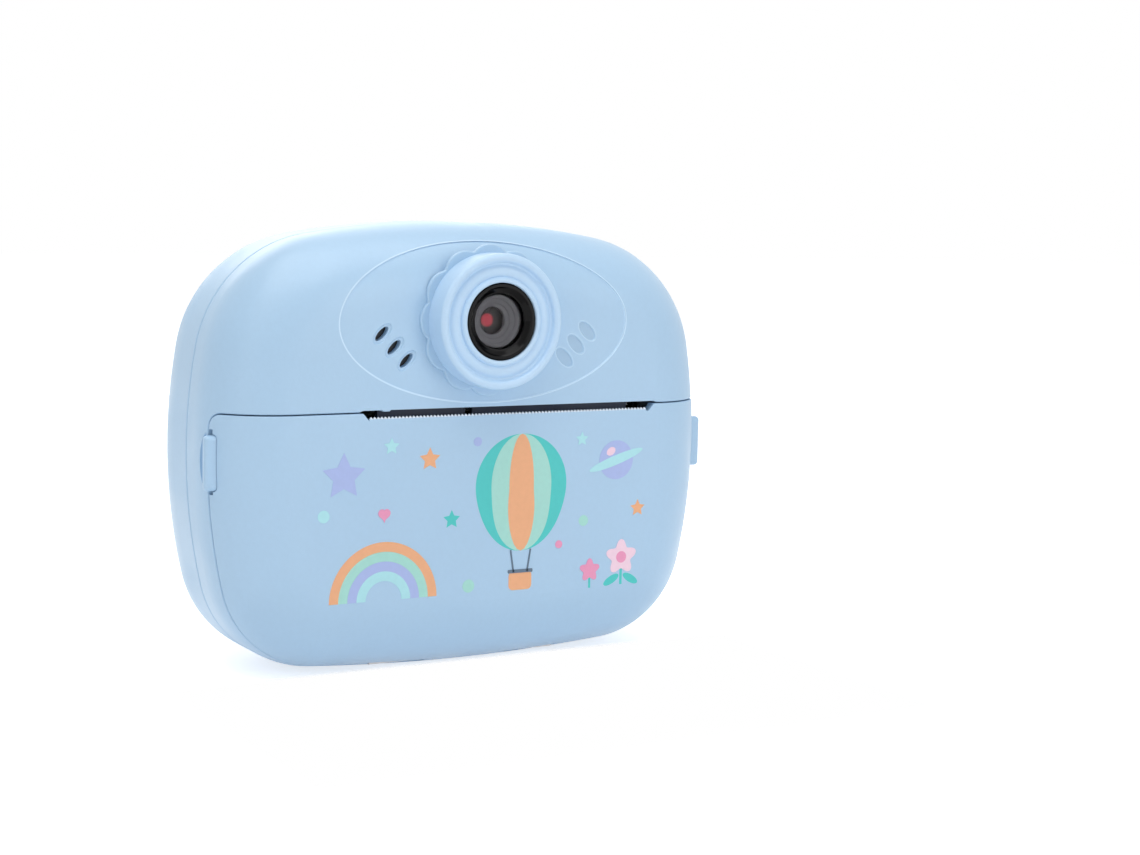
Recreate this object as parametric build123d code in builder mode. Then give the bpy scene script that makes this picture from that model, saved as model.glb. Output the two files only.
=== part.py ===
from build123d import *
import os
from math import asin, cos, pi, radians, sin, sqrt

# A child's instant-print camera: a rounded two-part case with a lens ring above a
# hinged paper door.  The door's toothed top edge is the tear bar, and a thermal print
# mechanism, a paper bay, a screen and a row of keys sit inside and behind.
#
# Millimetres.  +Z is up, the lens looks along -Y and +X is to the right of somebody who
# faces the lens.  The origin is on the ground under the middle of the whole object.
# "Depth" is always measured backwards from the front face of the case.

# --- Case -------------------------------------------------------------------------------
CASE_WIDTH = 110.0
CASE_DEPTH = 46.0
ABOVE_MIDDLE = 44.8          # from the widest level up to the top
BELOW_MIDDLE = 43.8          # from the widest level down to the lowest point
BASE_FLAT = 0.3              # how much of the bulging underside is cut flat
TOP_RADIUS = 180.0
SIDE_RADIUS = 115.0
BOTTOM_RADIUS = 410.0
TOP_CORNER = 27.0
BOTTOM_CORNER = 21.7
FRONT_FILLET = 14.35
REAR_FILLET = 20.0
WALL = 2.0
SHELL_PARTING = 18.6         # depth of the joint between front and rear shell
SEAM = 0.24                  # gap along every joint between outer covers
SEAM_ROUND = 0.3             # rounding of the covers' outer edges along those gaps

# --- Paper door and slot ----------------------------------------------------------------
DOOR_EDGE = 9.4              # depth of the door's rear edge
DOOR_PROUD = 0.12            # the door stands this far out of the case
SLOT_HEIGHT = 52.0
SLOT_CORNER = 2.5            # round between the slot and the side joint
DIP_LEFT, DIP_RIGHT = -26.6, 38.9
DIP_DEPTH = 1.15
DIP_SLOPE = 1.3
MOUTH_RISE = 0.32            # notch above the dip, in the front shell
MOUTH_MARGIN = 1.2
TAB_LEFT, TAB_RIGHT = -22.5, -20.8   # small tab left standing in that notch
TAB_SLOPE = 0.3
TOOTH_PITCH = 0.75
TOOTH_HEIGHT = 0.45
TOOTH_DEPTH = 0.35
TOOTH_RELIEF = 0.3           # the edge is this much lower behind the teeth
HINGE_DEPTH, HINGE_HEIGHT = 9.4, 1.4
KNUCKLE_RADIUS = 1.2
KNUCKLE_SINK = 0.1
HINGE_PIN_RADIUS = 0.5
HINGE_RELIEF = 1.0           # hollow in the shell's edge, where the door's edge swings
RELIEF_HALF = 27.0
RUNNING_GAP = 0.05           # radial clearance of every shaft in its hole
KNUCKLE_GAP = 0.25
DOOR_KNUCKLE = 9.0           # half length of the door's own knuckle
HINGE_HALF = 21.0            # half length of the whole hinge

# --- Door latches -----------------------------------------------------------------------
LATCH_HEIGHT = 42.7
LATCH_LENGTH = 10.5
LATCH_FRONT, LATCH_REAR = 7.25, 9.05
LATCH_OUT = 55.4             # outer face of each ear, from the middle plane
LATCH_TRAVEL = 0.8
LATCH_SLOT_FRONT = 8.1
LATCH_SLOT_LENGTH = 12.4
LATCH_ROUND = 0.88           # corners of the ear
LATCH_EDGE = 0.8             # and of its outer face
LATCH_SEAT = 51.7            # floor of the ear's seat in the door, from the middle plane

# --- Lens -------------------------------------------------------------------------------
LENS_HEIGHT = 69.4
OVAL_HALF_WIDTH, OVAL_HALF_HEIGHT = 31.6, 15.7
OVAL_HEIGHT = 69.0
OVAL_RECESS = 0.2
RING_RADIUS = 13.2
RING_PROUD = 6.1
SPIGOT_RADIUS = 10.0
BEZEL_RADIUS = 7.5
PETALS = 12
PETAL_RADIUS = 4.6
PETAL_CIRCLE = 10.3
COLLAR_PROUD = 0.45

# --- Sound slots and dimples, mirrored about the lens -----------------------------------
SLOT_ROW_X, SLOT_ROW_Z = 20.05, 64.4
SLOT_ROW_STEP = 2.6
DIMPLE_LENGTH, DIMPLE_WIDTH, DIMPLE_DEPTH = 4.6, 2.15, 0.3
DIMPLE_FLARE = 0.25
SOUND_LENGTH, SOUND_WIDTH = 3.6, 1.5

# --- Paper and print mechanism, centred off the middle to leave room for the gears ------
PAPER_X = 7.8
ROLL_WIDTH = 57.0
ROLL_RADIUS = 12.5
ROLL_BORE = 4.0
ROLL_DEPTH, ROLL_HEIGHT = 18.6, 19.6
PLATEN_DEPTH, PLATEN_HEIGHT = 6.8, 46.6
PLATEN_RADIUS = 4.0
PLATEN_LENGTH = 58.0
SHAFT_RADIUS = 1.25
BUSH_RADIUS = 2.2
PAPER_GAP = 0.2              # room for the paper between head and platen
HEAD_TILT = 12.0
BAY_WIDTH = 60.0
BAY_WALL = 1.5
BAY_TOP = 37.2
BAY_REAR = 32.0
FASCIA_DEPTH = 10.2

# --- Gear train -------------------------------------------------------------------------
GEAR_MODULE = 0.5
PLATEN_TEETH, IDLER_TEETH, PINION_TEETH = 16, 28, 12
GEAR_WIDTH = 2.8
GEAR_X = -29.2               # outer face of the gears
GEAR_BACKLASH = 0.14
IDLER_BEARING = -10.0        # direction of the idler from the platen, degrees above the rear
PINION_BEARING = 45.0        # direction of the pinion from the idler

# --- Screen, keys, ports ----------------------------------------------------------------
SCREEN_WIDTH, SCREEN_HEIGHT = 46.0, 34.0
SCREEN_MIDDLE = 50.5
KEY_HEIGHT = 25.0
KEY_PITCH = 12.0
KEY_RADIUS = 4.0
KEY_PROUD = 0.6
KEY_TRAVEL = 0.6
SHUTTER_X, SHUTTER_DEPTH = -26.0, 35.5
SHUTTER_RADIUS = 5.0
SHUTTER_PROUD = 0.05
BOARD_DEPTH = 35.6
BOARD_THICKNESS = 1.2
USB_HEIGHT = 40.0
CARD_HEIGHT = 54.0
STRAP_HEIGHT = 71.0

# --- Fasteners --------------------------------------------------------------------------
LOWER_SCREWS = [(-44.5, 24.0), (44.5, 24.0)]
UPPER_SCREWS = [(-41.0, 64.0), (41.0, 64.0)]
BOARD_SCREWS = [(-31.0, 19.0), (31.0, 19.0), (-34.5, 70.5), (34.5, 70.5)]
SLEEVE_RADIUS = 3.2
POST_RADIUS = 2.9
SCREW_RADIUS = 1.3
SCREW_HEAD_RADIUS = 2.4

# --- Worked out from the above ----------------------------------------------------------
FRONT_Y = -(CASE_DEPTH + KEY_PROUD - RING_PROUD) / 2
MIDDLE_HEIGHT = BELOW_MIDDLE - BASE_FLAT
TOP_HEIGHT = MIDDLE_HEIGHT + ABOVE_MIDDLE
FAR = CASE_WIDTH             # long enough to cut right through
TOUCH = 0.02                 # points this close to a face lie on it


# --- Frames of reference ----------------------------------------------------------------
def depth_plane(depth):
    """A plane facing the front: its coordinates are x and height, extrude(+) goes forwards."""
    return Plane(origin=(0, FRONT_Y + depth, 0), x_dir=(1, 0, 0), z_dir=(0, -1, 0))


def side_plane(x, centre=(0, 0)):
    """A plane facing +X: its coordinates are depth and height, counted from a centre."""
    origin = (x, FRONT_Y + centre[0], centre[1])
    return Plane(origin=origin, x_dir=(0, 1, 0), z_dir=(1, 0, 0))


def level_plane(height):
    """A level plane: its coordinates are x and depth."""
    return Plane(origin=(0, FRONT_Y, height), x_dir=(1, 0, 0), z_dir=(0, 0, 1))


def block(x_range, depth_range, height_range):
    """A plain box between two limits on each axis."""
    low = Vector(x_range[0], FRONT_Y + depth_range[0], height_range[0])
    high = Vector(x_range[1], FRONT_Y + depth_range[1], height_range[1])
    size = high - low
    with BuildPart(mode=Mode.PRIVATE) as box:
        with Locations((low + high) * 0.5):
            Box(size.X, size.Y, size.Z)
    return box.part


def rod(x, height, radius, depth_range):
    """A round bar along the depth."""
    with BuildPart(mode=Mode.PRIVATE) as bar:
        with BuildSketch(depth_plane(depth_range[0])):
            with Locations((x, height)):
                Circle(radius)
        extrude(amount=-(depth_range[1] - depth_range[0]))
    return bar.part


def axle(depth, height, radius, x_range):
    """A round bar along X."""
    with BuildPart(mode=Mode.PRIVATE) as bar:
        with BuildSketch(side_plane(x_range[0])):
            with Locations((depth, height)):
                Circle(radius)
        extrude(amount=x_range[1] - x_range[0])
    return bar.part


# --- The case as a solid form -----------------------------------------------------------
def right_crossing(centre_a, radius_a, centre_b, radius_b):
    """The crossing of two circles that lies further to the right."""
    between = centre_b - centre_a
    along = (between.length**2 + radius_a**2 - radius_b**2) / (2 * between.length)
    across = sqrt(radius_a**2 - along**2)
    direction = between.normalized()
    foot = centre_a + direction * along
    sideways = Vector(-direction.Y, direction.X) * across
    return max((foot + sideways, foot - sideways), key=lambda point: point.X)


def outward(centre, through, radius):
    """The point of a circle that lies in the direction of another point."""
    return centre + (through - centre).normalized() * radius


def flip(point):
    """The same point on the other side of the middle plane."""
    return Vector(-point.X, point.Y)


def case_face(inset):
    """The outline of the case from the front, eight tangent arcs, moved inwards by inset."""
    top, bottom = TOP_HEIGHT - inset, -BASE_FLAT + inset
    top_r, side_r, bottom_r = TOP_RADIUS - inset, SIDE_RADIUS - inset, BOTTOM_RADIUS - inset
    upper_r, lower_r = TOP_CORNER - inset, BOTTOM_CORNER - inset
    top_c, bottom_c = Vector(0, top - top_r), Vector(0, bottom + bottom_r)
    side_c = Vector(CASE_WIDTH / 2 - SIDE_RADIUS, MIDDLE_HEIGHT)
    upper_c = right_crossing(top_c, top_r - upper_r, side_c, side_r - upper_r)
    lower_c = right_crossing(bottom_c, bottom_r - lower_r, side_c, side_r - lower_r)
    top_end = outward(top_c, upper_c, top_r)
    side_top = outward(side_c, upper_c, side_r)
    side_bottom = outward(side_c, lower_c, side_r)
    bottom_end = outward(bottom_c, lower_c, bottom_r)
    arcs = [
        (top_end, outward(upper_c, (top_end + side_top) * 0.5, upper_r), side_top),
        (side_top, Vector(CASE_WIDTH / 2 - inset, MIDDLE_HEIGHT), side_bottom),
        (side_bottom, outward(lower_c, (side_bottom + bottom_end) * 0.5, lower_r), bottom_end),
    ]
    with BuildSketch(mode=Mode.PRIVATE) as face:
        with BuildLine():
            ThreePointArc(flip(top_end), Vector(0, top), top_end)
            for start, middle, end in arcs:
                ThreePointArc(start, middle, end)
                ThreePointArc(flip(start), flip(middle), flip(end))
            ThreePointArc(bottom_end, Vector(0, bottom), flip(bottom_end))
        make_face()
    return face.sketch


def case_form(inset):
    """The whole case as one solid, every surface moved inwards by inset."""
    with BuildPart(mode=Mode.PRIVATE) as form:
        with BuildSketch(depth_plane(inset)):
            add(case_face(inset))
        extrude(amount=-(CASE_DEPTH - 2 * inset))
        fillet(form.faces().sort_by(Axis.Y)[0].edges(), FRONT_FILLET - inset)
        fillet(form.faces().sort_by(Axis.Y)[-1].edges(), REAR_FILLET - inset)
        split(bisect_by=Plane.XY, keep=Keep.TOP)
    return form.part


outer_form = case_form(0)
inner_form = case_form(WALL)
snug_form = case_form(WALL + 0.05)


def door_block(clearance):
    """Everything in front of the door's edge and below the slot, grown by a clearance."""
    with BuildPart(mode=Mode.PRIVATE) as zone:
        with BuildSketch(side_plane(-FAR)) as profile:
            with Locations((DOOR_EDGE + clearance, SLOT_HEIGHT + clearance)):
                Rectangle(FAR, FAR, align=(Align.MAX, Align.MAX))
            corner = profile.vertices().sort_by(lambda v: v.X + v.Y)[-1]
            fillet(corner, SLOT_CORNER + clearance)
        extrude(amount=2 * FAR)
    return zone.part


def latch_prism(side, grow, depth_range, x_range):
    """The rounded bar that one latch ear is cut from, on the left (-1) or right (+1)."""
    near, far = sorted((side * x_range[0], side * x_range[1]))
    with BuildPart(mode=Mode.PRIVATE) as prism:
        with BuildSketch(side_plane(near)) as profile:
            with Locations(((depth_range[0] + depth_range[1]) / 2, LATCH_HEIGHT)):
                Rectangle(depth_range[1] - depth_range[0] + 2 * grow, LATCH_LENGTH + 2 * grow)
            fillet(profile.vertices(), LATCH_ROUND + grow)
        extrude(amount=far - near)
    return prism.part


def lies_on(point, solid):
    """Whether a point lies on one of a solid's faces."""
    spot = Vertex(point.X, point.Y, point.Z)
    return any(face.distance_to(spot) < TOUCH for face in solid.faces())


def round_seam(cover, skin, cutter):
    """Rounds a cover's edges that lie both on its outer skin and on the cut of a seam."""
    seam = [edge for edge in cover.edges() if lies_on(edge @ 0.5, cutter)]
    fillet([edge for edge in seam if lies_on(edge @ 0.5, skin)], SEAM_ROUND)


def dimple_form(x, height, turn):
    """A shallow oval dimple with sloped sides, in the plane of the lens field."""
    with BuildPart(mode=Mode.PRIVATE) as dimple:
        for depth, grow in ((0, DIMPLE_FLARE), (DIMPLE_DEPTH, 0)):
            with BuildSketch(depth_plane(OVAL_RECESS + depth)):
                with Locations(Location((x, height), turn)):
                    Ellipse(DIMPLE_LENGTH / 2 + grow, DIMPLE_WIDTH / 2 + grow)
        loft(ruled=True)
    return dimple.part


# --- Front shell ------------------------------------------------------------------------
front_end, rear_start = SHELL_PARTING - SEAM / 2, SHELL_PARTING + SEAM / 2
with BuildPart() as front_shell:
    add(outer_form)
    add(inner_form, mode=Mode.SUBTRACT)
    behind = block((-FAR, FAR), (front_end, FAR), (-FAR, FAR))
    add(behind, mode=Mode.SUBTRACT)
    round_seam(front_shell, outer_form, behind)
    opening = door_block(SEAM / 2)
    add(opening, mode=Mode.SUBTRACT)
    round_seam(front_shell, outer_form, opening)

    # knuckles of the door hinge, a hair under the skin, and room for the door's edge
    # and for its own knuckle
    knuckle_zone = case_form(KNUCKLE_SINK)
    relief = axle(HINGE_DEPTH, HINGE_HEIGHT, HINGE_RELIEF, (-RELIEF_HALF, RELIEF_HALF))
    add(relief, mode=Mode.SUBTRACT)
    for end in (-1, 1):
        inner_end, outer_end = DOOR_KNUCKLE + KNUCKLE_GAP, HINGE_HALF
        span = sorted((end * inner_end, end * outer_end))
        add(axle(HINGE_DEPTH, HINGE_HEIGHT, KNUCKLE_RADIUS, span).intersect(knuckle_zone))
    room = (-DOOR_KNUCKLE - KNUCKLE_GAP, DOOR_KNUCKLE + KNUCKLE_GAP)
    add(axle(HINGE_DEPTH, HINGE_HEIGHT, KNUCKLE_RADIUS + KNUCKLE_GAP, room), mode=Mode.SUBTRACT)
    add(axle(HINGE_DEPTH, HINGE_HEIGHT, HINGE_PIN_RADIUS + 0.02, (-FAR, FAR)), mode=Mode.SUBTRACT)

    # posts for the upper case screws
    for x, height in UPPER_SCREWS:
        add(rod(x, height, POST_RADIUS, (WALL / 2, SHELL_PARTING)).intersect(case_form(1)))
    for x, height in UPPER_SCREWS:
        add(rod(x, height, SCREW_RADIUS + RUNNING_GAP, (9, FAR)), mode=Mode.SUBTRACT)

    # the shallow oval around the lens
    with BuildSketch(depth_plane(-1), mode=Mode.PRIVATE) as oval:
        with Locations((0, OVAL_HEIGHT)):
            Ellipse(OVAL_HALF_WIDTH, OVAL_HALF_HEIGHT)
    oval_bar = extrude(oval.sketch, amount=-FRONT_FILLET, mode=Mode.PRIVATE)
    add(oval_bar.cut(case_form(OVAL_RECESS)), mode=Mode.SUBTRACT)

    # the mouth of the slot, cut a little into the shell's lower edge
    mouth_top = SLOT_HEIGHT + SEAM / 2 + MOUTH_RISE
    with BuildSketch(depth_plane(-1)):
        with BuildLine():
            Polyline(
                (DIP_LEFT - MOUTH_MARGIN, SLOT_HEIGHT - SEAM / 2),
                (DIP_LEFT, mouth_top),
                (TAB_LEFT, mouth_top),
                (TAB_LEFT + TAB_SLOPE, SLOT_HEIGHT),
                (TAB_RIGHT - TAB_SLOPE, SLOT_HEIGHT),
                (TAB_RIGHT, mouth_top),
                (DIP_RIGHT, mouth_top),
                (DIP_RIGHT + MOUTH_MARGIN, SLOT_HEIGHT - SEAM / 2),
                close=True,
            )
        make_face()
    extrude(amount=-3 * WALL, mode=Mode.SUBTRACT)

    # sound slots on the left, blind dimples on the right, both in a shallow seat
    for step in (-1, 0, 1):
        x = SLOT_ROW_X - step * SLOT_ROW_STEP
        height = SLOT_ROW_Z - step * SLOT_ROW_STEP
        for side in (-1, 1):
            add(dimple_form(side * x, height, side * -45), mode=Mode.SUBTRACT)
        with BuildSketch(depth_plane(0)):
            with Locations(Location((-x, height), 45)):
                Ellipse(SOUND_LENGTH / 2, SOUND_WIDTH / 2)
        extrude(amount=-2 * WALL, mode=Mode.SUBTRACT)

    # hole for the lens ring's spigot
    add(rod(0, LENS_HEIGHT, SPIGOT_RADIUS + RUNNING_GAP, (-1, 2 * WALL)), mode=Mode.SUBTRACT)

    # finger recesses behind the latch ears
    for side in (-1, 1):
        with BuildSketch(side_plane(side * (CASE_WIDTH / 2 - 0.9))):
            with Locations((DOOR_EDGE, LATCH_HEIGHT)):
                Ellipse(2.3, LATCH_LENGTH / 2 + 0.4)
        extrude(amount=side * 3, mode=Mode.SUBTRACT)

# --- Rear shell -------------------------------------------------------------------------
screen_low, screen_high = (SCREEN_MIDDLE - SCREEN_HEIGHT / 2, SCREEN_MIDDLE + SCREEN_HEIGHT / 2)
key_places = [(index * KEY_PITCH, KEY_HEIGHT) for index in range(-2, 3)]
strap_holes = [STRAP_HEIGHT - 2.6, STRAP_HEIGHT + 2.6]

with BuildPart() as rear_shell:
    add(outer_form)
    add(inner_form, mode=Mode.SUBTRACT)
    before = block((-FAR, FAR), (-FAR, rear_start), (-FAR, FAR))
    add(before, mode=Mode.SUBTRACT)
    round_seam(rear_shell, outer_form, before)
    skin = case_form(1)
    for x, height in LOWER_SCREWS + UPPER_SCREWS:
        add(rod(x, height, SLEEVE_RADIUS, (SHELL_PARTING + SEAM, CASE_DEPTH)).intersect(skin))
    for x, height in BOARD_SCREWS:
        standoff = (BOARD_DEPTH + BOARD_THICKNESS, CASE_DEPTH)
        add(rod(x, height, 2.4, standoff).intersect(skin))
    for x, height in LOWER_SCREWS + UPPER_SCREWS:
        add(rod(x, height, SCREW_HEAD_RADIUS + 0.3, (21, FAR)), mode=Mode.SUBTRACT)
        add(rod(x, height, SCREW_RADIUS + 0.15, (0, FAR)), mode=Mode.SUBTRACT)
    for x, height in BOARD_SCREWS:
        add(rod(x, height, 0.9 + RUNNING_GAP, (0, 42)), mode=Mode.SUBTRACT)

    # screen opening with a seat for the clear window
    with BuildSketch(depth_plane(CASE_DEPTH)):
        with Locations((0, SCREEN_MIDDLE)):
            RectangleRounded(SCREEN_WIDTH, SCREEN_HEIGHT, 3)
    extrude(amount=1.1, mode=Mode.SUBTRACT)
    with BuildSketch(depth_plane(CASE_DEPTH)):
        with Locations((0, SCREEN_MIDDLE)):
            RectangleRounded(SCREEN_WIDTH - 4, SCREEN_HEIGHT - 3, 1.5)
    extrude(amount=2 * WALL, mode=Mode.SUBTRACT)

    # key holes, shutter hole, ports and strap holes
    for x, height in key_places:
        add(rod(x, height, KEY_RADIUS + 0.25, (40, FAR)), mode=Mode.SUBTRACT)
    with BuildSketch(level_plane(76)):
        with Locations((SHUTTER_X, SHUTTER_DEPTH)):
            Circle(SHUTTER_RADIUS + 0.25)
    extrude(amount=FAR, mode=Mode.SUBTRACT)
    with BuildSketch(side_plane(45)):
        with Locations((34.2, USB_HEIGHT)):
            RectangleRounded(3.5, 8.6, 0.9)
        with Locations((34.7, CARD_HEIGHT)):
            RectangleRounded(1.7, 12.0, 0.5)
        for height in strap_holes:
            with Locations((30.0, height)):
                Circle(1.3)
    extrude(amount=FAR, mode=Mode.SUBTRACT)

# --- Paper door -------------------------------------------------------------------------
door_skin, door_zone = case_form(-DOOR_PROUD), door_block(-SEAM / 2)
door_top = SLOT_HEIGHT - SEAM / 2
dip_floor = door_top - DIP_DEPTH
cheek_left, cheek_right = PAPER_X - 32.1, PAPER_X + 30.6
CHEEK = 1.5
teeth_start, teeth_end = DIP_LEFT + DIP_SLOPE, DIP_RIGHT - DIP_SLOPE
tooth_count = int((teeth_end - teeth_start) / TOOTH_PITCH)

with BuildPart() as paper_door:
    add(door_skin.cut(inner_form).intersect(door_zone))
    round_seam(paper_door, door_skin, door_zone)

    # the dip in the top edge, with a row of tear teeth on its outer side
    with BuildSketch(depth_plane(-1)):
        with BuildLine():
            Polyline(
                (DIP_LEFT, door_top),
                (DIP_LEFT + DIP_SLOPE, dip_floor - TOOTH_RELIEF),
                (DIP_RIGHT - DIP_SLOPE, dip_floor - TOOTH_RELIEF),
                (DIP_RIGHT, door_top),
                (DIP_RIGHT, door_top + 1),
                (DIP_LEFT, door_top + 1),
                close=True,
            )
        make_face()
    extrude(amount=-3 * WALL, mode=Mode.SUBTRACT)
    row = []
    for index in range(tooth_count):
        foot = teeth_start + index * TOOTH_PITCH
        row.append((foot, dip_floor))
        row.append((foot + TOOTH_PITCH / 2, dip_floor + TOOTH_HEIGHT))
    row.append((teeth_start + tooth_count * TOOTH_PITCH, dip_floor))
    row.append((row[-1][0], dip_floor - TOOTH_HEIGHT))
    row.append((teeth_start, dip_floor - TOOTH_HEIGHT))
    with BuildSketch(depth_plane(-DOOR_PROUD)):
        with BuildLine():
            Polyline(*row, close=True)
        make_face()
    extrude(amount=-TOOTH_DEPTH)

    # cheeks that carry the platen roller's bushes
    for cheek in (cheek_left, cheek_right):
        with BuildSketch(side_plane(cheek)):
            with Locations((WALL - 0.1, PLATEN_HEIGHT - 0.5)):
                Rectangle(PLATEN_DEPTH - 0.5, 8.2, align=(Align.MIN, Align.CENTER))
            with Locations((PLATEN_DEPTH, PLATEN_HEIGHT)):
                Circle(3.3)
        extrude(amount=CHEEK)
        span = (cheek - 1, cheek + CHEEK + 1)
        add(axle(PLATEN_DEPTH, PLATEN_HEIGHT, BUSH_RADIUS, span), mode=Mode.SUBTRACT)

    # hinge knuckle in the middle, and room for the shell's two knuckles
    for end in (-1, 1):
        room = sorted((end * DOOR_KNUCKLE, end * (HINGE_HALF + KNUCKLE_GAP)))
        radius = KNUCKLE_RADIUS + KNUCKLE_GAP
        add(axle(HINGE_DEPTH, HINGE_HEIGHT, radius, room), mode=Mode.SUBTRACT)
    knuckle = axle(HINGE_DEPTH, HINGE_HEIGHT, KNUCKLE_RADIUS, (-DOOR_KNUCKLE, DOOR_KNUCKLE))
    add(knuckle.intersect(knuckle_zone))
    radius = HINGE_PIN_RADIUS + RUNNING_GAP
    add(axle(HINGE_DEPTH, HINGE_HEIGHT, radius, (-FAR, FAR)), mode=Mode.SUBTRACT)

    # seats and slots for the latch ears
    for side in (-1, 1):
        bar = latch_prism(side, 0.2, (LATCH_FRONT, LATCH_REAR + 1), (LATCH_SEAT, 60))
        add(bar, mode=Mode.SUBTRACT)
        with BuildSketch(side_plane(side * 45)):
            with Locations((LATCH_SLOT_FRONT, LATCH_HEIGHT + 0.15)):
                Rectangle(3, LATCH_SLOT_LENGTH, align=(Align.MIN, Align.CENTER))
        extrude(amount=side * 15, mode=Mode.SUBTRACT)

# --- Door hinge pin ---------------------------------------------------------------------
with BuildPart() as hinge_pin:
    add(axle(HINGE_DEPTH, HINGE_HEIGHT, HINGE_PIN_RADIUS, (-HINGE_HALF + 0.3, HINGE_HALF - 0.3)))


# --- Door latches: an ear outside, a stem through the slot and a spring plate inside -----
def make_latch(side):
    """One latch, on the left (-1) or right (+1) of the door."""
    stem_x = sorted((side * 49.0, side * 54.0))
    plate_x = sorted((side * 48.0, side * 49.2))
    ear_inner = LATCH_SEAT + LATCH_TRAVEL + 0.15
    with BuildPart(mode=Mode.PRIVATE) as latch:
        add(latch_prism(side, 0, (LATCH_FRONT, LATCH_REAR), (ear_inner, LATCH_OUT)))
        outer = latch.faces().sort_by(Axis.X)[-1 if side > 0 else 0]
        fillet(outer.edges(), LATCH_EDGE)
        stem_height = (LATCH_HEIGHT - 4.2, LATCH_HEIGHT + 4.2)
        add(block(stem_x, (LATCH_SLOT_FRONT + 0.15, LATCH_REAR), stem_height))
        plate_height = (LATCH_HEIGHT - 6.5, LATCH_HEIGHT + 5.5)
        add(block(plate_x, (6.4, LATCH_REAR), plate_height))
    return latch.part


with BuildPart() as latch_left:
    add(make_latch(-1))

with BuildPart() as latch_right:
    add(make_latch(1))

# --- Lens: petal collar, ring, bezel, window, barrel, element, sensor ---------------------
LENS_PLANE = level_plane(LENS_HEIGHT)
LENS_AXIS = Axis((0, FRONT_Y, LENS_HEIGHT), (0, 1, 0))

with BuildPart() as petal_collar:
    with BuildSketch(depth_plane(OVAL_RECESS)) as petals:
        with Locations((0, LENS_HEIGHT)):
            Circle(PETAL_CIRCLE + 1)
            with PolarLocations(PETAL_CIRCLE, PETALS):
                Circle(PETAL_RADIUS)
        fillet(petals.vertices(), 0.5)
        with Locations((0, LENS_HEIGHT)):
            Circle(SPIGOT_RADIUS + RUNNING_GAP, mode=Mode.SUBTRACT)
    extrude(amount=OVAL_RECESS + COLLAR_PROUD)
    rim = petal_collar.faces().sort_by(Axis.Y)[0].outer_wire().edges()
    fillet(rim, 0.35)

RING_FACE = -RING_PROUD      # depth of the ring's foremost edge
with BuildPart() as lens_ring:
    with BuildSketch(LENS_PLANE):
        with BuildLine():
            bore, face = BEZEL_RADIUS + RUNNING_GAP, RING_FACE
            l1 = Line((bore, 3.0), (bore, face + 0.6))
            l2 = ThreePointArc(l1 @ 1, (bore + 0.12, face + 0.32), (bore + 0.4, face + 0.2))
            l3 = Line(l2 @ 1, (bore + 0.55, face + 0.2))
            l4 = ThreePointArc(l3 @ 1, (bore + 0.95, face + 0.45), (bore + 1.15, face + 0.95))
            l5 = ThreePointArc(l4 @ 1, (bore + 2.3, face + 0.75), (bore + 3.4, face + 1.2))
            l6 = ThreePointArc(l5 @ 1, (bore + 3.75, face + 1.15), (bore + 3.95, face + 0.85))
            l7 = ThreePointArc(l6 @ 1, (bore + 4.7, face), (RING_RADIUS, face + 1.0))
            Polyline(
                l7 @ 1,
                (RING_RADIUS, -COLLAR_PROUD),
                (SPIGOT_RADIUS, -COLLAR_PROUD),
                (SPIGOT_RADIUS, 3.0),
                l1 @ 0,
            )
        make_face()
    revolve(axis=LENS_AXIS)

with BuildPart() as lens_bezel:
    with BuildSketch(LENS_PLANE):
        with BuildLine():
            Polyline(
                (BEZEL_RADIUS, 3.0),
                (BEZEL_RADIUS, RING_FACE + 0.85),
                (BEZEL_RADIUS - 0.25, RING_FACE + 0.6),
                (6.75, RING_FACE + 0.6),
                (6.45, RING_FACE + 0.9),
                (5.75, RING_FACE + 1.45),
                (5.45, RING_FACE + 1.5),
                (5.45, RING_FACE + 2.0),
                (5.85, RING_FACE + 2.0),
                (5.85, 3.0),
                close=True,
            )
        make_face()
    revolve(axis=LENS_AXIS)

with BuildPart() as lens_window:
    add(rod(0, LENS_HEIGHT, 5.8, (RING_FACE + 2.0, RING_FACE + 2.6)))

LENS_SEAT = -0.3             # depth of the shoulder that the front lens rests on
with BuildPart() as lens_barrel:
    with BuildSketch(LENS_PLANE):
        with BuildLine():
            Polyline(
                (5.8, RING_FACE + 2.6),
                (5.8, 6.0),
                (3.2, 6.0),
                (3.2, LENS_SEAT),
                (2.75, LENS_SEAT),
                (2.75, LENS_SEAT - 1.2),
                (3.4, LENS_SEAT - 1.5),
                (3.6, LENS_SEAT - 1.8),
                (4.3, LENS_SEAT - 2.1),
                (4.5, LENS_SEAT - 2.4),
                (5.1, LENS_SEAT - 2.7),
                (5.1, RING_FACE + 2.6),
                close=True,
            )
        make_face()
    revolve(axis=LENS_AXIS)

LENS_CURVE = 5.06            # radius of the front lens's face
LENS_RIM = (2.65, LENS_SEAT - 0.6)
LENS_VERTEX = LENS_RIM[1] - LENS_CURVE + sqrt(LENS_CURVE**2 - LENS_RIM[0] ** 2)
with BuildPart() as front_lens:
    with BuildSketch(LENS_PLANE):
        with BuildLine():
            rear, shoulder = LENS_SEAT + 1.2, LENS_SEAT + 0.1
            outside = [(3.15, rear), (3.15, shoulder), (LENS_RIM[0], shoulder)]
            Polyline((0, LENS_VERTEX), (0, rear), *outside, LENS_RIM)
            half_turn = asin(LENS_RIM[0] / LENS_CURVE) / 2
            bulge = LENS_CURVE * (1 - cos(half_turn))
            dome = (LENS_CURVE * sin(half_turn), LENS_VERTEX + bulge)
            ThreePointArc(LENS_RIM, dome, (0, LENS_VERTEX))
        make_face()
    revolve(axis=LENS_AXIS)

with BuildPart() as iris_disc:
    add(rod(0, LENS_HEIGHT, 3.1, (LENS_SEAT + 1.3, LENS_SEAT + 1.7)))

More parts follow.
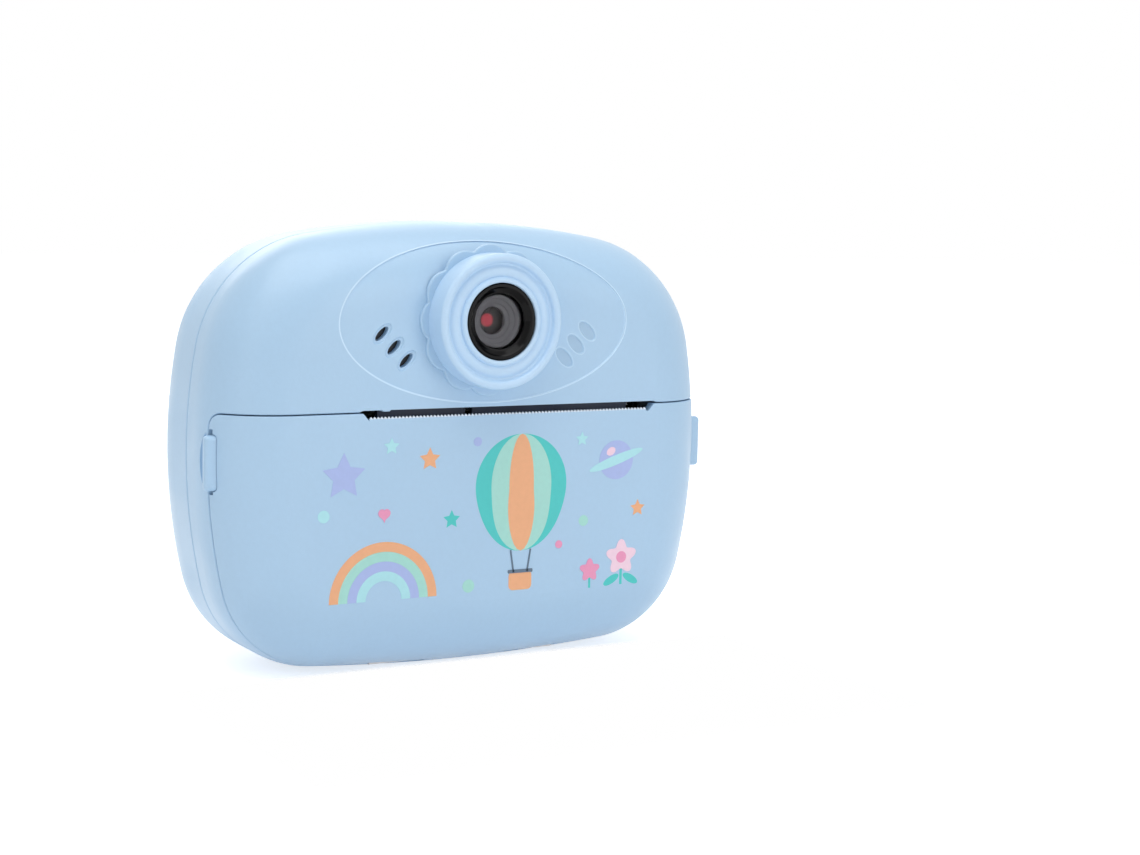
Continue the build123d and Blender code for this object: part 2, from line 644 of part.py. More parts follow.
with BuildPart() as sensor_board:
    add(block((-8.5, 8.5), (6.0, 7.0), (LENS_HEIGHT - 8.5, LENS_HEIGHT + 8.5)))
    add(block((-5, 5), (7.0, 8.6), (LENS_HEIGHT - 6, LENS_HEIGHT - 3.4)))

with BuildPart() as speaker:
    add(rod(-SLOT_ROW_X, SLOT_ROW_Z, 6.5, (WALL + 0.1, WALL + 2.3)))
    add(rod(-SLOT_ROW_X, SLOT_ROW_Z, 4.2, (WALL + 2.3, WALL + 4.6)))

# --- Paper bay: a fascia behind the door with the trough for the paper roll --------------
bay_left, bay_right = PAPER_X - BAY_WIDTH / 2, PAPER_X + BAY_WIDTH / 2
CRADLE = ROLL_RADIUS + 0.5


def bay_profile(grow):
    """The trough from the side, round at the bottom where the roll lies."""
    low = ROLL_HEIGHT - CRADLE - grow
    with BuildSketch(side_plane(bay_left - grow), mode=Mode.PRIVATE) as profile:
        with Locations((FASCIA_DEPTH - 3, low)):
            Rectangle(BAY_REAR + grow - FASCIA_DEPTH + 3, BAY_TOP + grow - low, align=Align.MIN)
        rear = profile.vertices().group_by(Axis.X)[-1]
        fillet(rear.sort_by(Axis.Y)[0], CRADLE + grow)
        fillet(profile.vertices().sort_by(lambda v: v.X + v.Y)[-1], 2 + grow)
    return profile.sketch


with BuildPart() as paper_bay:
    with BuildSketch(depth_plane(FASCIA_DEPTH)):
        add(case_face(WALL))
    extrude(amount=-BAY_WALL)
    add(extrude(bay_profile(BAY_WALL), amount=BAY_WIDTH + 2 * BAY_WALL, mode=Mode.PRIVATE))
    add(snug_form, mode=Mode.INTERSECT)
    add(block((-FAR, FAR), (-FAR, FASCIA_DEPTH), (-1, FAR)), mode=Mode.SUBTRACT)
    add(extrude(bay_profile(0), amount=BAY_WIDTH, mode=Mode.PRIVATE), mode=Mode.SUBTRACT)
    add(block((-FAR, FAR), (0, CASE_DEPTH), (SLOT_HEIGHT - 0.4, FAR)), mode=Mode.SUBTRACT)
    mechanism = (BAY_TOP + BAY_WALL, FAR)
    add(block((-32.5, bay_right + 4.2), (0, CASE_DEPTH), mechanism), mode=Mode.SUBTRACT)
    add(block((-32.5, bay_left - BAY_WALL), (0, CASE_DEPTH), (36, FAR)), mode=Mode.SUBTRACT)
    for x, height in LOWER_SCREWS:
        add(rod(x, height, POST_RADIUS, (FASCIA_DEPTH + BAY_WALL, SHELL_PARTING)))
    for x, height in LOWER_SCREWS:
        add(rod(x, height, SCREW_RADIUS + RUNNING_GAP, (12.2, FAR)), mode=Mode.SUBTRACT)

# --- Paper roll -------------------------------------------------------------------------
roll_left, roll_right = PAPER_X - ROLL_WIDTH / 2, PAPER_X + ROLL_WIDTH / 2
with BuildPart() as paper_roll:
    with BuildSketch(side_plane(roll_left)):
        with Locations((ROLL_DEPTH, ROLL_HEIGHT)):
            Circle(ROLL_RADIUS)
            Circle(ROLL_BORE, mode=Mode.SUBTRACT)
    extrude(amount=ROLL_WIDTH)

# --- Platen roller, carried by the door -------------------------------------------------
platen_left, platen_right = PAPER_X - PLATEN_LENGTH / 2, PAPER_X + PLATEN_LENGTH / 2
with BuildPart() as platen_roller:
    with BuildSketch(side_plane(platen_left)):
        with Locations((PLATEN_DEPTH, PLATEN_HEIGHT)):
            Circle(PLATEN_RADIUS)
            Circle(SHAFT_RADIUS, mode=Mode.SUBTRACT)
    extrude(amount=PLATEN_LENGTH)

with BuildPart() as platen_shaft:
    add(axle(PLATEN_DEPTH, PLATEN_HEIGHT, SHAFT_RADIUS, (GEAR_X - 0.4, cheek_right + CHEEK + 0.9)))

with BuildPart() as platen_bushes:
    for cheek in (cheek_left, cheek_right):
        with BuildSketch(side_plane(cheek)):
            with Locations((PLATEN_DEPTH, PLATEN_HEIGHT)):
                Circle(BUSH_RADIUS)
                Circle(SHAFT_RADIUS + RUNNING_GAP, mode=Mode.SUBTRACT)
        extrude(amount=CHEEK)

# --- Gear train -------------------------------------------------------------------------
GEAR_SLACK = 0.06            # added to each distance between gear centres
PRESSURE_ANGLE = radians(20)


def gear_radius(teeth):
    """Pitch radius."""
    return teeth * GEAR_MODULE / 2


def involute(ratio):
    """The involute function at the point whose radius is the base radius over ratio."""
    return sqrt(1 / ratio**2 - 1) - (pi / 2 - asin(ratio))


def gear_points(teeth, turn):
    """Closed outline of a spur gear about its own centre, one tooth centred on turn."""
    pitch_r = gear_radius(teeth)
    base_r = pitch_r * cos(PRESSURE_ANGLE)
    root_r, tip_r = pitch_r - 1.25 * GEAR_MODULE, pitch_r + 0.95 * GEAR_MODULE
    half_pitch = pi / (2 * teeth) - GEAR_BACKLASH / (2 * pitch_r)
    start_r = max(base_r, root_r)
    radii = [start_r + (tip_r - start_r) * step / 3 for step in range(4)]
    flank = [(root_r, half_pitch + involute(cos(PRESSURE_ANGLE)) + 0.02)]
    for radius in radii:
        angle = half_pitch + involute(cos(PRESSURE_ANGLE)) - involute(base_r / radius)
        flank.append((radius, angle))
    points = []
    for tooth in range(teeth):
        centre = radians(turn) + 2 * pi * tooth / teeth
        rising = [(radius, centre - angle) for radius, angle in flank]
        falling = [(radius, centre + angle) for radius, angle in reversed(flank)]
        for radius, angle in rising + falling:
            points.append((radius * cos(angle), radius * sin(angle)))
    return points


def gear_centre(origin, bearing, teeth_a, teeth_b):
    """Centre of a gear that meshes with the one at origin, in a given direction."""
    distance = gear_radius(teeth_a) + gear_radius(teeth_b) + GEAR_SLACK
    return (
        origin[0] + distance * cos(radians(bearing)),
        origin[1] + distance * sin(radians(bearing)),
    )


def meshing_turn(bearing, turn_a, teeth_a, teeth_b):
    """Turn of gear b so that a gap of it faces each tooth of gear a."""
    pitch_a = 360 / teeth_a
    offset = (turn_a - bearing + pitch_a / 2) % pitch_a - pitch_a / 2
    return bearing + 180 - offset * teeth_a / teeth_b + 180 / teeth_b


platen_centre = (PLATEN_DEPTH, PLATEN_HEIGHT)
idler_centre = gear_centre(platen_centre, IDLER_BEARING, PLATEN_TEETH, IDLER_TEETH)
pinion_centre = gear_centre(idler_centre, PINION_BEARING, IDLER_TEETH, PINION_TEETH)
platen_turn = 0.0
idler_turn = meshing_turn(IDLER_BEARING, platen_turn, PLATEN_TEETH, IDLER_TEETH)
pinion_turn = meshing_turn(PINION_BEARING, idler_turn, IDLER_TEETH, PINION_TEETH)


def make_gear(centre, teeth, turn, bore_radius, web_radius):
    """A spur gear along X with a bore and, on larger gears, a thinner web."""
    with BuildPart(mode=Mode.PRIVATE) as gear:
        with BuildSketch(side_plane(GEAR_X, centre)):
            with BuildLine():
                Polyline(*gear_points(teeth, turn), close=True)
            make_face()
            Circle(bore_radius, mode=Mode.SUBTRACT)
        extrude(amount=GEAR_WIDTH)
        if web_radius:
            with BuildSketch(side_plane(GEAR_X + GEAR_WIDTH, centre)):
                Circle(web_radius)
                Circle(bore_radius + 1.2, mode=Mode.SUBTRACT)
            extrude(amount=-0.8, mode=Mode.SUBTRACT)
    return gear.part


with BuildPart() as platen_gear:
    add(make_gear(platen_centre, PLATEN_TEETH, platen_turn, SHAFT_RADIUS, 0))

with BuildPart() as idler_gear:
    idler_bore = 1.0 + RUNNING_GAP
    add(make_gear(idler_centre, IDLER_TEETH, idler_turn, idler_bore, 5.4))

with BuildPart() as motor_pinion:
    add(make_gear(pinion_centre, PINION_TEETH, pinion_turn, 0.8, 0))

with BuildPart() as motor_shaft:
    add(axle(*pinion_centre, 0.8, (-36, GEAR_X + GEAR_WIDTH)))

PLATE_X = GEAR_X - 2.0       # outer face of the plate that carries motor and idler
with BuildPart() as gear_plate:
    with BuildSketch(side_plane(PLATE_X)):
        with Locations(idler_centre):
            Circle(5)
        with Locations(pinion_centre):
            Circle(8.5)
        with Locations((33.5, 47)):
            Rectangle(4, 12)
        make_hull()
        with Locations(pinion_centre):
            Circle(2.6, mode=Mode.SUBTRACT)
    extrude(amount=1.2)
    add(axle(*idler_centre, 1.0, (PLATE_X + 1.0, GEAR_X + GEAR_WIDTH + 0.3)))
    add(axle(*idler_centre, 1.8, (PLATE_X + 1.0, GEAR_X - 0.2)))

with BuildPart() as stepper_motor:
    add(axle(*pinion_centre, 7.5, (PLATE_X - 12, PLATE_X)))
    add(axle(*pinion_centre, 2.4, (PLATE_X, PLATE_X + 1.2)))
    add(block((-41, -34), (pinion_centre[0] + 6.5, 33.4), (48, 55)))
    add(axle(*pinion_centre, 0.8 + RUNNING_GAP, (-36.1, 0)), mode=Mode.SUBTRACT)

# --- Print head above the platen, tilted so that the paper rises to the slot -------------
nip_depth = PLATEN_DEPTH + (PLATEN_RADIUS + PAPER_GAP) * sin(radians(HEAD_TILT))
nip_height = PLATEN_HEIGHT + (PLATEN_RADIUS + PAPER_GAP) * cos(radians(HEAD_TILT))
HEAD_FRONT, HEAD_REAR = -1.6, 9.0


def head_layer(half_width, low, high, rear):
    """One flat layer of the print head, measured up from the paper."""
    plane = side_plane(PAPER_X - half_width)
    with BuildPart(mode=Mode.PRIVATE) as layer:
        with BuildSketch(plane):
            with Locations(Location((nip_depth, nip_height), -HEAD_TILT)):
                with Locations(((HEAD_FRONT + rear) / 2, (low + high) / 2)):
                    Rectangle(rear - HEAD_FRONT, high - low)
        extrude(amount=2 * half_width)
    return layer.part


with BuildPart() as print_head:
    add(head_layer(28.5, 0, 0.8, HEAD_REAR))

with BuildPart() as heat_sink:
    add(head_layer(29.5, 0.8, 3.2, HEAD_REAR + 1.5))

BRACKET_TOP = 57.6
with BuildPart() as head_bracket:
    add(block((-25.9, 41.4), (8.6, 24.0), (BRACKET_TOP, BRACKET_TOP + 1.2)))
    for low_x in (-25.9, 40.2):
        add(block((low_x, low_x + 1.2), (10.4, 24.0), (41.0, BRACKET_TOP)))
    add(block((-25.9, 41.4), (23.0, 24.0), (44.0, BRACKET_TOP)))

with BuildPart() as head_spring:
    spring_low = nip_height + 1.65
    with BuildSketch(side_plane(PAPER_X - 20)):
        with BuildLine():
            Polyline(
                (20.0, BRACKET_TOP),
                (20.0, BRACKET_TOP - 0.4),
                (13.5, BRACKET_TOP - 0.4),
                (11.4, spring_low + 1.0),
                (10.2, spring_low + 1.9),
                (10.0, spring_low + 2.3),
                (11.6, spring_low + 1.7),
                (13.2, BRACKET_TOP),
                close=True,
            )
        make_face()
    extrude(amount=40)

GUIDE_LOW, GUIDE_FRONT, GUIDE_REAR = SLOT_HEIGHT - 1.0, 2.5, 6.0
guide_left, guide_right = -22.5, 33.6
LIP_DROP, LIP_DEPTH = 0.5, 0.5    # dark lip that shows behind the tear teeth
with BuildPart() as paper_guide:
    add(block((guide_left, guide_right), (GUIDE_FRONT, GUIDE_REAR - 2.2), (GUIDE_LOW, 57.0)))
    add(block((guide_left, guide_right), (GUIDE_FRONT, 9.0), (56.0, BRACKET_TOP)))
    lip_depths = (GUIDE_FRONT, GUIDE_FRONT + LIP_DEPTH)
    add(block((guide_left, guide_right), lip_depths, (GUIDE_LOW - LIP_DROP, GUIDE_LOW + 1)))
    notch = (-3.6, -2.0)
    add(block(notch, (0, GUIDE_REAR), (GUIDE_LOW - 1, GUIDE_LOW + 1.5)), mode=Mode.SUBTRACT)

with BuildPart() as paper_sensor:
    add(block((-3.7, -1.9), (GUIDE_FRONT + 1.5, GUIDE_FRONT + 3.4), (52.2, 54.2)))

# --- Ribbons and leads between the boards --------------------------------------------------
RIBBON = 0.3


def make_ribbon(start_x, width, route):
    """A flat cable whose route is given as depth and height."""
    with BuildPart(mode=Mode.PRIVATE) as ribbon:
        with BuildSketch(side_plane(start_x)):
            with BuildLine():
                FilletPolyline(*route, radius=1.5)
            trace(line_width=RIBBON)
        extrude(amount=width)
    return ribbon.part


with BuildPart() as lens_ribbon:
    add(make_ribbon(-4, 8, [(8.8, 64.7), (22, 64.7), (22, 82), (35, 82), (35, 73.7)]))

with BuildPart() as head_ribbon:
    add(make_ribbon(1, 14, [(17.0, 49.0), (20.5, 48.3), (20.5, 41.5), (34.0, 41.5)]))

lead_routes = [
    [(-21.5, 7.0, 66.0), (-21.5, 18.0, 66.5), (-22.5, 34.9, 68.0)],
    [(-19.8, 7.0, 66.0), (-19.8, 18.0, 66.5), (-20.8, 34.9, 68.0)],
    [(32.6, 29.2, 64.5), (35.2, 29.2, 64.5), (35.2, 34.9, 62.5)],
    [(32.6, 30.9, 63.0), (34.0, 30.9, 63.0), (34.0, 34.9, 61.5)],
]
with BuildPart() as leads:
    for route in lead_routes:
        points = [(x, FRONT_Y + depth, height) for x, depth, height in route]
        with BuildLine() as path:
            FilletPolyline(*points, radius=0.9)
        with BuildSketch(path.line ^ 0):
            Circle(0.5)
        sweep(path=path.line)

# --- Boards and battery -----------------------------------------------------------------
BOARD_REAR = BOARD_DEPTH + BOARD_THICKNESS
with BuildPart() as main_board:
    with BuildSketch(depth_plane(BOARD_DEPTH)):
        with Locations((2.5, 45.0)):
            RectangleRounded(87, 58, 2)
        with Locations(*LOWER_SCREWS, *UPPER_SCREWS):
            Circle(SLEEVE_RADIUS + 0.6, mode=Mode.SUBTRACT)
        with Locations(*BOARD_SCREWS):
            Circle(1.1, mode=Mode.SUBTRACT)
    extrude(amount=-BOARD_THICKNESS)
    add(block((6, 20), (BOARD_DEPTH - 1.4, BOARD_DEPTH), (60, 72)))
    add(block((-14, -6), (BOARD_DEPTH - 1.2, BOARD_DEPTH), (60, 68)))
    add(block((22, 28), (BOARD_DEPTH - 1.8, BOARD_DEPTH), (44, 50)))
    add(block((-5, 5), (BOARD_DEPTH - 1.2, BOARD_DEPTH), (70.5, 73.5)))
    add(block((0, 16), (BOARD_DEPTH - 1.4, BOARD_DEPTH), (40.0, 43.0)))
    add(case_form(WALL + 0.5), mode=Mode.INTERSECT)

with BuildPart() as board_screws:
    for x, height in BOARD_SCREWS:
        add(rod(x, height, 0.9, (BOARD_DEPTH, 41.5)))
        add(rod(x, height, 1.8, (BOARD_DEPTH - 1.1, BOARD_DEPTH)))
        slot = block((x - 1.2, x + 1.2), (34, 34.9), (height - 0.2, height + 0.2))
        add(slot, mode=Mode.SUBTRACT)
        slot = block((x - 0.2, x + 0.2), (34, 34.9), (height - 1.2, height + 1.2))
        add(slot, mode=Mode.SUBTRACT)

with BuildPart() as battery:
    add(block((-18, 32), (27.0, 33.0), (60.0, 80.0)))
    fillet(battery.edges().filter_by(Axis.X), 1.2)

with BuildPart() as key_switches:
    for x, height in key_places:
        body_height = (height - 2.3, height + 2.3)
        add(block((x - 2.3, x + 2.3), (BOARD_REAR, BOARD_REAR + 1.0), body_height))
        add(rod(x, height, 1.0, (BOARD_REAR + 1.0, BOARD_REAR + 1.6)))

with BuildPart() as shutter_switch:
    add(block((SHUTTER_X - 3, SHUTTER_X + 3), (BOARD_DEPTH - 3.0, BOARD_DEPTH), (70.5, 75.0)))
    with BuildSketch(level_plane(75.0)):
        with Locations((SHUTTER_X, BOARD_DEPTH - 1.5)):
            Circle(0.9)
    extrude(amount=0.8)

# --- Screen -----------------------------------------------------------------------------
with BuildPart() as screen_module:
    screen_x = (-SCREEN_WIDTH / 2 - 0.5, SCREEN_WIDTH / 2 + 0.5)
    screen_depth = (41.3, CASE_DEPTH - WALL - 0.1)
    add(block(screen_x, screen_depth, (screen_low - 0.5, screen_high + 0.5)))

with BuildPart() as screen_window:
    with BuildSketch(depth_plane(CASE_DEPTH - 1.1)):
        with Locations((0, SCREEN_MIDDLE)):
            RectangleRounded(SCREEN_WIDTH - 0.2, SCREEN_HEIGHT - 0.2, 2.9)
    extrude(amount=-1.05)


# --- Keys and shutter button ------------------------------------------------------------
def make_key(x):
    """A domed round key with a flange inside the shell and a stem towards its switch."""
    with BuildPart(mode=Mode.PRIVATE) as key:
        cap = (CASE_DEPTH - WALL - 0.6, CASE_DEPTH + KEY_PROUD)
        add(rod(x, KEY_HEIGHT, KEY_RADIUS, cap))
        fillet(key.faces().sort_by(Axis.Y)[-1].edges(), 0.5)
        flange = (CASE_DEPTH - WALL - 1.2, CASE_DEPTH - WALL - 0.3)
        add(rod(x, KEY_HEIGHT, KEY_RADIUS + 0.9, flange))
        stem = (BOARD_REAR + 1.6 + KEY_TRAVEL + 0.15, CASE_DEPTH - WALL - 1.0)
        add(rod(x, KEY_HEIGHT, 1.4, stem))
    return key.part


# from behind, +X is on the left, so the row starts there
with BuildPart() as menu_key:
    add(make_key(2 * KEY_PITCH))

with BuildPart() as back_key:
    add(make_key(KEY_PITCH))

with BuildPart() as ok_key:
    add(make_key(0))

with BuildPart() as next_key:
    add(make_key(-KEY_PITCH))

with BuildPart() as print_key:
    add(make_key(-2 * KEY_PITCH))

with BuildPart() as shutter_button:
    with BuildSketch(level_plane(78)):
        with Locations((SHUTTER_X, SHUTTER_DEPTH)):
            Circle(SHUTTER_RADIUS)
    extrude(amount=12)
    add(case_form(-SHUTTER_PROUD), mode=Mode.INTERSECT)
    with BuildPart(mode=Mode.PRIVATE) as flange:
        with BuildSketch(level_plane(70)):
            with Locations((SHUTTER_X, SHUTTER_DEPTH)):
                Circle(SHUTTER_RADIUS + 1)
        extrude(amount=20)
        add(case_form(WALL + 0.3), mode=Mode.INTERSECT)
        add(case_form(WALL + 1.2), mode=Mode.SUBTRACT)
    add(flange.part)
    with BuildSketch(level_plane(76.6)):
        with Locations((SHUTTER_X, BOARD_DEPTH - 1.5)):
            Circle(1.2)
    extrude(amount=4.5)

# --- Ports ------------------------------------------------------------------------------
with BuildPart() as usb_port:
    with BuildSketch(side_plane(46.5)):
        with Locations((34.2, USB_HEIGHT)):
            RectangleRounded(2.7, 7.8, 0.8)
            RectangleRounded(2.1, 7.2, 0.6, mode=Mode.SUBTRACT)
    extrude(amount=6.0)
    add(block((46.5, 47.0), (33.0, 35.4), (USB_HEIGHT - 3.7, USB_HEIGHT + 3.7)))
    add(block((47.0, 51.0), (34.0, 34.5), (USB_HEIGHT - 2.2, USB_HEIGHT + 2.2)))

with BuildPart() as card_socket:
    add(block((34.0, 48.5), (33.8, 35.6), (CARD_HEIGHT - 6.5, CARD_HEIGHT + 6.5)))
    card_room = block((35.6, 49.0), (34.1, 35.3), (CARD_HEIGHT - 5.7, CARD_HEIGHT + 5.7))
    add(card_room, mode=Mode.SUBTRACT)

with BuildPart() as memory_card:
    add(block((37.2, 52.4), (34.25, 35.15), (CARD_HEIGHT - 5.5, CARD_HEIGHT + 5.5)))

# --- Case screws ------------------------------------------------------------------------
with BuildPart() as case_screws:
    for x, height in LOWER_SCREWS + UPPER_SCREWS:
        add(rod(x, height, SCREW_RADIUS, (12.6, 21.0)))
        add(rod(x, height, SCREW_HEAD_RADIUS, (21.0, 22.6)))
        for half_x, half_z in ((1.6, 0.3), (0.3, 1.6)):
            cross = block((x - half_x, x + half_x), (21.8, 23), (height - half_z, height + half_z))
            add(cross, mode=Mode.SUBTRACT)

# --- Write every piece ------------------------------------------------------------------
pieces = {
    "front_shell": front_shell,
    "rear_shell": rear_shell,
    "paper_door": paper_door,
    "hinge_pin": hinge_pin,
    "latch_left": latch_left,
    "latch_right": latch_right,
    "petal_collar": petal_collar,
    "lens_ring": lens_ring,
    "lens_bezel": lens_bezel,
    "lens_window": lens_window,
    "lens_barrel": lens_barrel,
    "front_lens": front_lens,
    "iris_disc": iris_disc,
    "sensor_board": sensor_board,
    "speaker": speaker,
    "paper_bay": paper_bay,
    "paper_roll": paper_roll,
    "platen_roller": platen_roller,
    "platen_shaft": platen_shaft,
    "platen_bushes": platen_bushes,
    "platen_gear": platen_gear,
    "idler_gear": idler_gear,
    "motor_pinion": motor_pinion,
    "motor_shaft": motor_shaft,
    "gear_plate": gear_plate,
    "stepper_motor": stepper_motor,
    "print_head": print_head,
    "heat_sink": heat_sink,
    "head_bracket": head_bracket,
    "head_spring": head_spring,
    "paper_guide": paper_guide,
    "paper_sensor": paper_sensor,
    "lens_ribbon": lens_ribbon,
    "head_ribbon": head_ribbon,
    "leads": leads,
    "main_board": main_board,
    "board_screws": board_screws,
    "battery": battery,
    "key_switches": key_switches,
    "shutter_switch": shutter_switch,
    "screen_module": screen_module,
    "screen_window": screen_window,
    "menu_key": menu_key,
    "back_key": back_key,
    "ok_key": ok_key,
    "next_key": next_key,
    "print_key": print_key,
    "shutter_button": shutter_button,
    "usb_port": usb_port,
    "card_socket": card_socket,
    "memory_card": memory_card,
    "case_screws": case_screws,
}
os.makedirs("parts", exist_ok=True)
for name, piece in pieces.items():
    piece.part.label = name
    export_step(piece.part, f"parts/{name}.step")
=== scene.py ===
"""A child's instant-print camera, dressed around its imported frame."""

import logging
import math
from collections.abc import Callable, Sequence
from dataclasses import dataclass
from enum import Enum
from functools import cache

import bmesh
import bpy
from mathutils import Matrix, Vector


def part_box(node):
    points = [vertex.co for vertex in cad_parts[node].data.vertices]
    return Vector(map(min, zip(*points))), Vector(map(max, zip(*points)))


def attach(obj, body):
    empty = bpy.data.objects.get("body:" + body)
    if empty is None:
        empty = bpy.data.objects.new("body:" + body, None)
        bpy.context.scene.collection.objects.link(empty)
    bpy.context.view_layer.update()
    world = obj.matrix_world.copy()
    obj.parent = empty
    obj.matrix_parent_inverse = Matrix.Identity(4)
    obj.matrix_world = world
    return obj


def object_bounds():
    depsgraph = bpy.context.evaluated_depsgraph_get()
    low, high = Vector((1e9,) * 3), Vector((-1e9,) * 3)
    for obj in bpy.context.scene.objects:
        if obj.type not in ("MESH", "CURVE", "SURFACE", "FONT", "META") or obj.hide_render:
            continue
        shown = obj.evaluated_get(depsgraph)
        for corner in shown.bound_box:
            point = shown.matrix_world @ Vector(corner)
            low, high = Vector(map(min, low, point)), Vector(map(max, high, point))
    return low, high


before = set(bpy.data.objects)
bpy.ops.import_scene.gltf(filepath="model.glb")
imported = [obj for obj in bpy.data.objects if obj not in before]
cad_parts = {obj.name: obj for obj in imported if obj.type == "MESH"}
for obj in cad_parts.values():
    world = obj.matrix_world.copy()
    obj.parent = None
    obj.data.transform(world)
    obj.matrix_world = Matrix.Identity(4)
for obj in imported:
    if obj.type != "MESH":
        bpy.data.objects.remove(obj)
cad_low, cad_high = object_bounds()

MM = 0.001
FAR = 1.0e6  # flattens an axis until it no longer counts

log = logging.getLogger("camera")

Colour = tuple[float, float, float]
Point = tuple[float, float, float]
Pair = tuple[float, float]
Node = bpy.types.Node
Socket = bpy.types.NodeSocket
Values = dict[str, float | Colour | Socket]
Outline = Callable[[float], float]


def srgb(red: float, green: float, blue: float) -> Colour:
    """Turns an 8-bit display colour into the linear values that shaders take.

    Args:
        red: Red, 0 to 255.
        green: Green, 0 to 255.
        blue: Blue, 0 to 255.

    Returns:
        The linear colour.
    """
    parts = []
    for value in (red / 255, green / 255, blue / 255):
        low = value <= 0.04045
        parts.append(value / 12.92 if low else ((value + 0.055) / 1.055) ** 2.4)
    return tuple(parts)


def shade_of(colour: Colour, factor: float) -> Colour:
    """The same colour, lighter or darker by a factor."""
    return tuple(min(1.0, part * factor) for part in colour)


# --- Node trees -------------------------------------------------------------------------
class Tree:
    """A shader node tree that is being wired up."""

    def __init__(self, tree: bpy.types.NodeTree) -> None:
        """Starts on an empty tree."""
        self.tree = tree
        tree.nodes.clear()

    def add(self, kind: str, inputs: dict | None = None, **settings) -> Node:
        """Adds one node.

        Args:
            kind: The node's type name without "ShaderNode".
            inputs: Values or sockets by input name or index.
            settings: Attributes of the node.

        Returns:
            The node.
        """
        node = self.tree.nodes.new("ShaderNode" + kind)
        for name, value in settings.items():
            setattr(node, name, value)
        for name, value in (inputs or {}).items():
            self.set(node.inputs[name], value)
        return node

    def set(self, socket: Socket, value) -> None:
        """Gives an input a value, or links an output to it."""
        if isinstance(value, Socket):
            self.tree.links.new(value, socket)
        elif socket.type == "RGBA" and len(value) == 3:
            socket.default_value = (*value, 1.0)
        else:
            socket.default_value = value

    def math(self, operation: str, first, second=0.0, clamp: bool = False) -> Socket:
        """A Math node's result."""
        inputs = {0: first, 1: second}
        return self.add("Math", inputs, operation=operation, use_clamp=clamp).outputs[0]

    def blend(self, first: Socket, second: Socket, share: float) -> Socket:
        """A sum of two values, of which the first has the given share."""
        rest = self.math("MULTIPLY", second, 1 - share)
        return self.math("ADD", self.math("MULTIPLY", first, share), rest)

    def mix(self, factor, first, second) -> Socket:
        """A blend of two colours."""
        inputs = {0: factor, 6: first, 7: second}
        return self.add("Mix", inputs, data_type="RGBA").outputs[2]

    def ramp(self, value, low: float, high: float, to_low=0.0, to_high=1.0) -> Socket:
        """A value mapped smoothly from one range to another, and held at its ends."""
        inputs = {0: value, 1: low, 2: high, 3: to_low, 4: to_high}
        node = self.add("MapRange", inputs, interpolation_type="SMOOTHSTEP")
        return node.outputs[0]

    def place(self, offset: Sequence[float] = (0, 0, 0), scale=(1, 1, 1)) -> Socket:
        """Object coordinates counted from a point, then stretched.

        Args:
            offset: The point, in metres.
            scale: How much each axis counts.

        Returns:
            The vector socket.
        """
        source = self.add("TexCoord").outputs["Object"]
        location = tuple(-part * size for part, size in zip(offset, scale))
        inputs = {"Vector": source, "Location": location, "Scale": scale}
        return self.add("Mapping", inputs).outputs[0]

    def oval(self, centre: Pair, halves: Pair, turn: float) -> Socket:
        """How far out a point is in an oval seen from the front.

        Args:
            centre: The oval's middle, across and up.
            halves: Half its width and half its height before it is turned.
            turn: Its turn against the clock, in degrees.

        Returns:
            0 in the middle and 1 at the rim.
        """
        inputs = {
            "Vector": self.add("TexCoord").outputs["Object"],
            "Location": (centre[0], 0.0, centre[1]),
            "Rotation": (0.0, -math.radians(turn), 0.0),
            "Scale": (halves[0], FAR, halves[1]),
        }
        return self.length(self.add("Mapping", inputs, vector_type="TEXTURE").outputs[0])

    def split(self, vector: Socket) -> list[Socket]:
        """The three parts of a vector."""
        return list(self.add("SeparateXYZ", {0: vector}).outputs)

    def length(self, vector: Socket) -> Socket:
        """The length of a vector."""
        node = self.add("VectorMath", {0: vector}, operation="LENGTH")
        return node.outputs["Value"]

    def noise(self, vector: Socket, scale, detail: float = 2.0) -> Socket:
        """A noise value round 0.5."""
        inputs = {"Vector": vector, "Scale": scale, "Detail": detail}
        return self.add("TexNoise", inputs).outputs[0]

    def use(self, effect: type, **values) -> Node:
        """Places a shared group.

        Args:
            effect: The group's class.
            values: Its inputs, with _ for a space.

        Returns:
            The group's node.
        """
        inputs = {name.replace("_", " "): value for name, value in values.items()}
        return self.add("Group", inputs, node_tree=shared(effect))

    def bump(self, height: Socket, distance: float) -> Socket:
        """A normal that follows a height, whose full range is the given distance."""
        return self.add("Bump", {"Height": height, "Distance": distance}).outputs[0]


# --- Shared groups ----------------------------------------------------------------------
class SocketKind(Enum):
    """What a group's socket carries."""

    VECTOR = "NodeSocketVector"
    NUMBER = "NodeSocketFloat"


class SharedGroup:
    """One effect that several finishes use, built once."""

    name = "effect"
    takes: dict[str, SocketKind] = {}
    gives: Sequence[str] = ()

    def __init__(self) -> None:
        """Builds the group's tree."""
        group = bpy.data.node_groups.new(self.name, "ShaderNodeTree")
        for label, kind in self.takes.items():
            group.interface.new_socket(label, in_out="INPUT", socket_type=kind.value)
        for label in self.gives:
            kind = SocketKind.NUMBER.value
            group.interface.new_socket(label, in_out="OUTPUT", socket_type=kind)
        tree = Tree(group)
        results = self.wire(tree, group.nodes.new("NodeGroupInput").outputs)
        target = group.nodes.new("NodeGroupOutput")
        for label, result in results.items():
            tree.set(target.inputs[label], result)
        self.group = group

    def wire(self, tree: Tree, source) -> dict[str, Socket]:
        """Wires the effect.

        Args:
            tree: The group's tree.
            source: The group's inputs, by name.

        Returns:
            The group's results, by name.
        """
        raise NotImplementedError


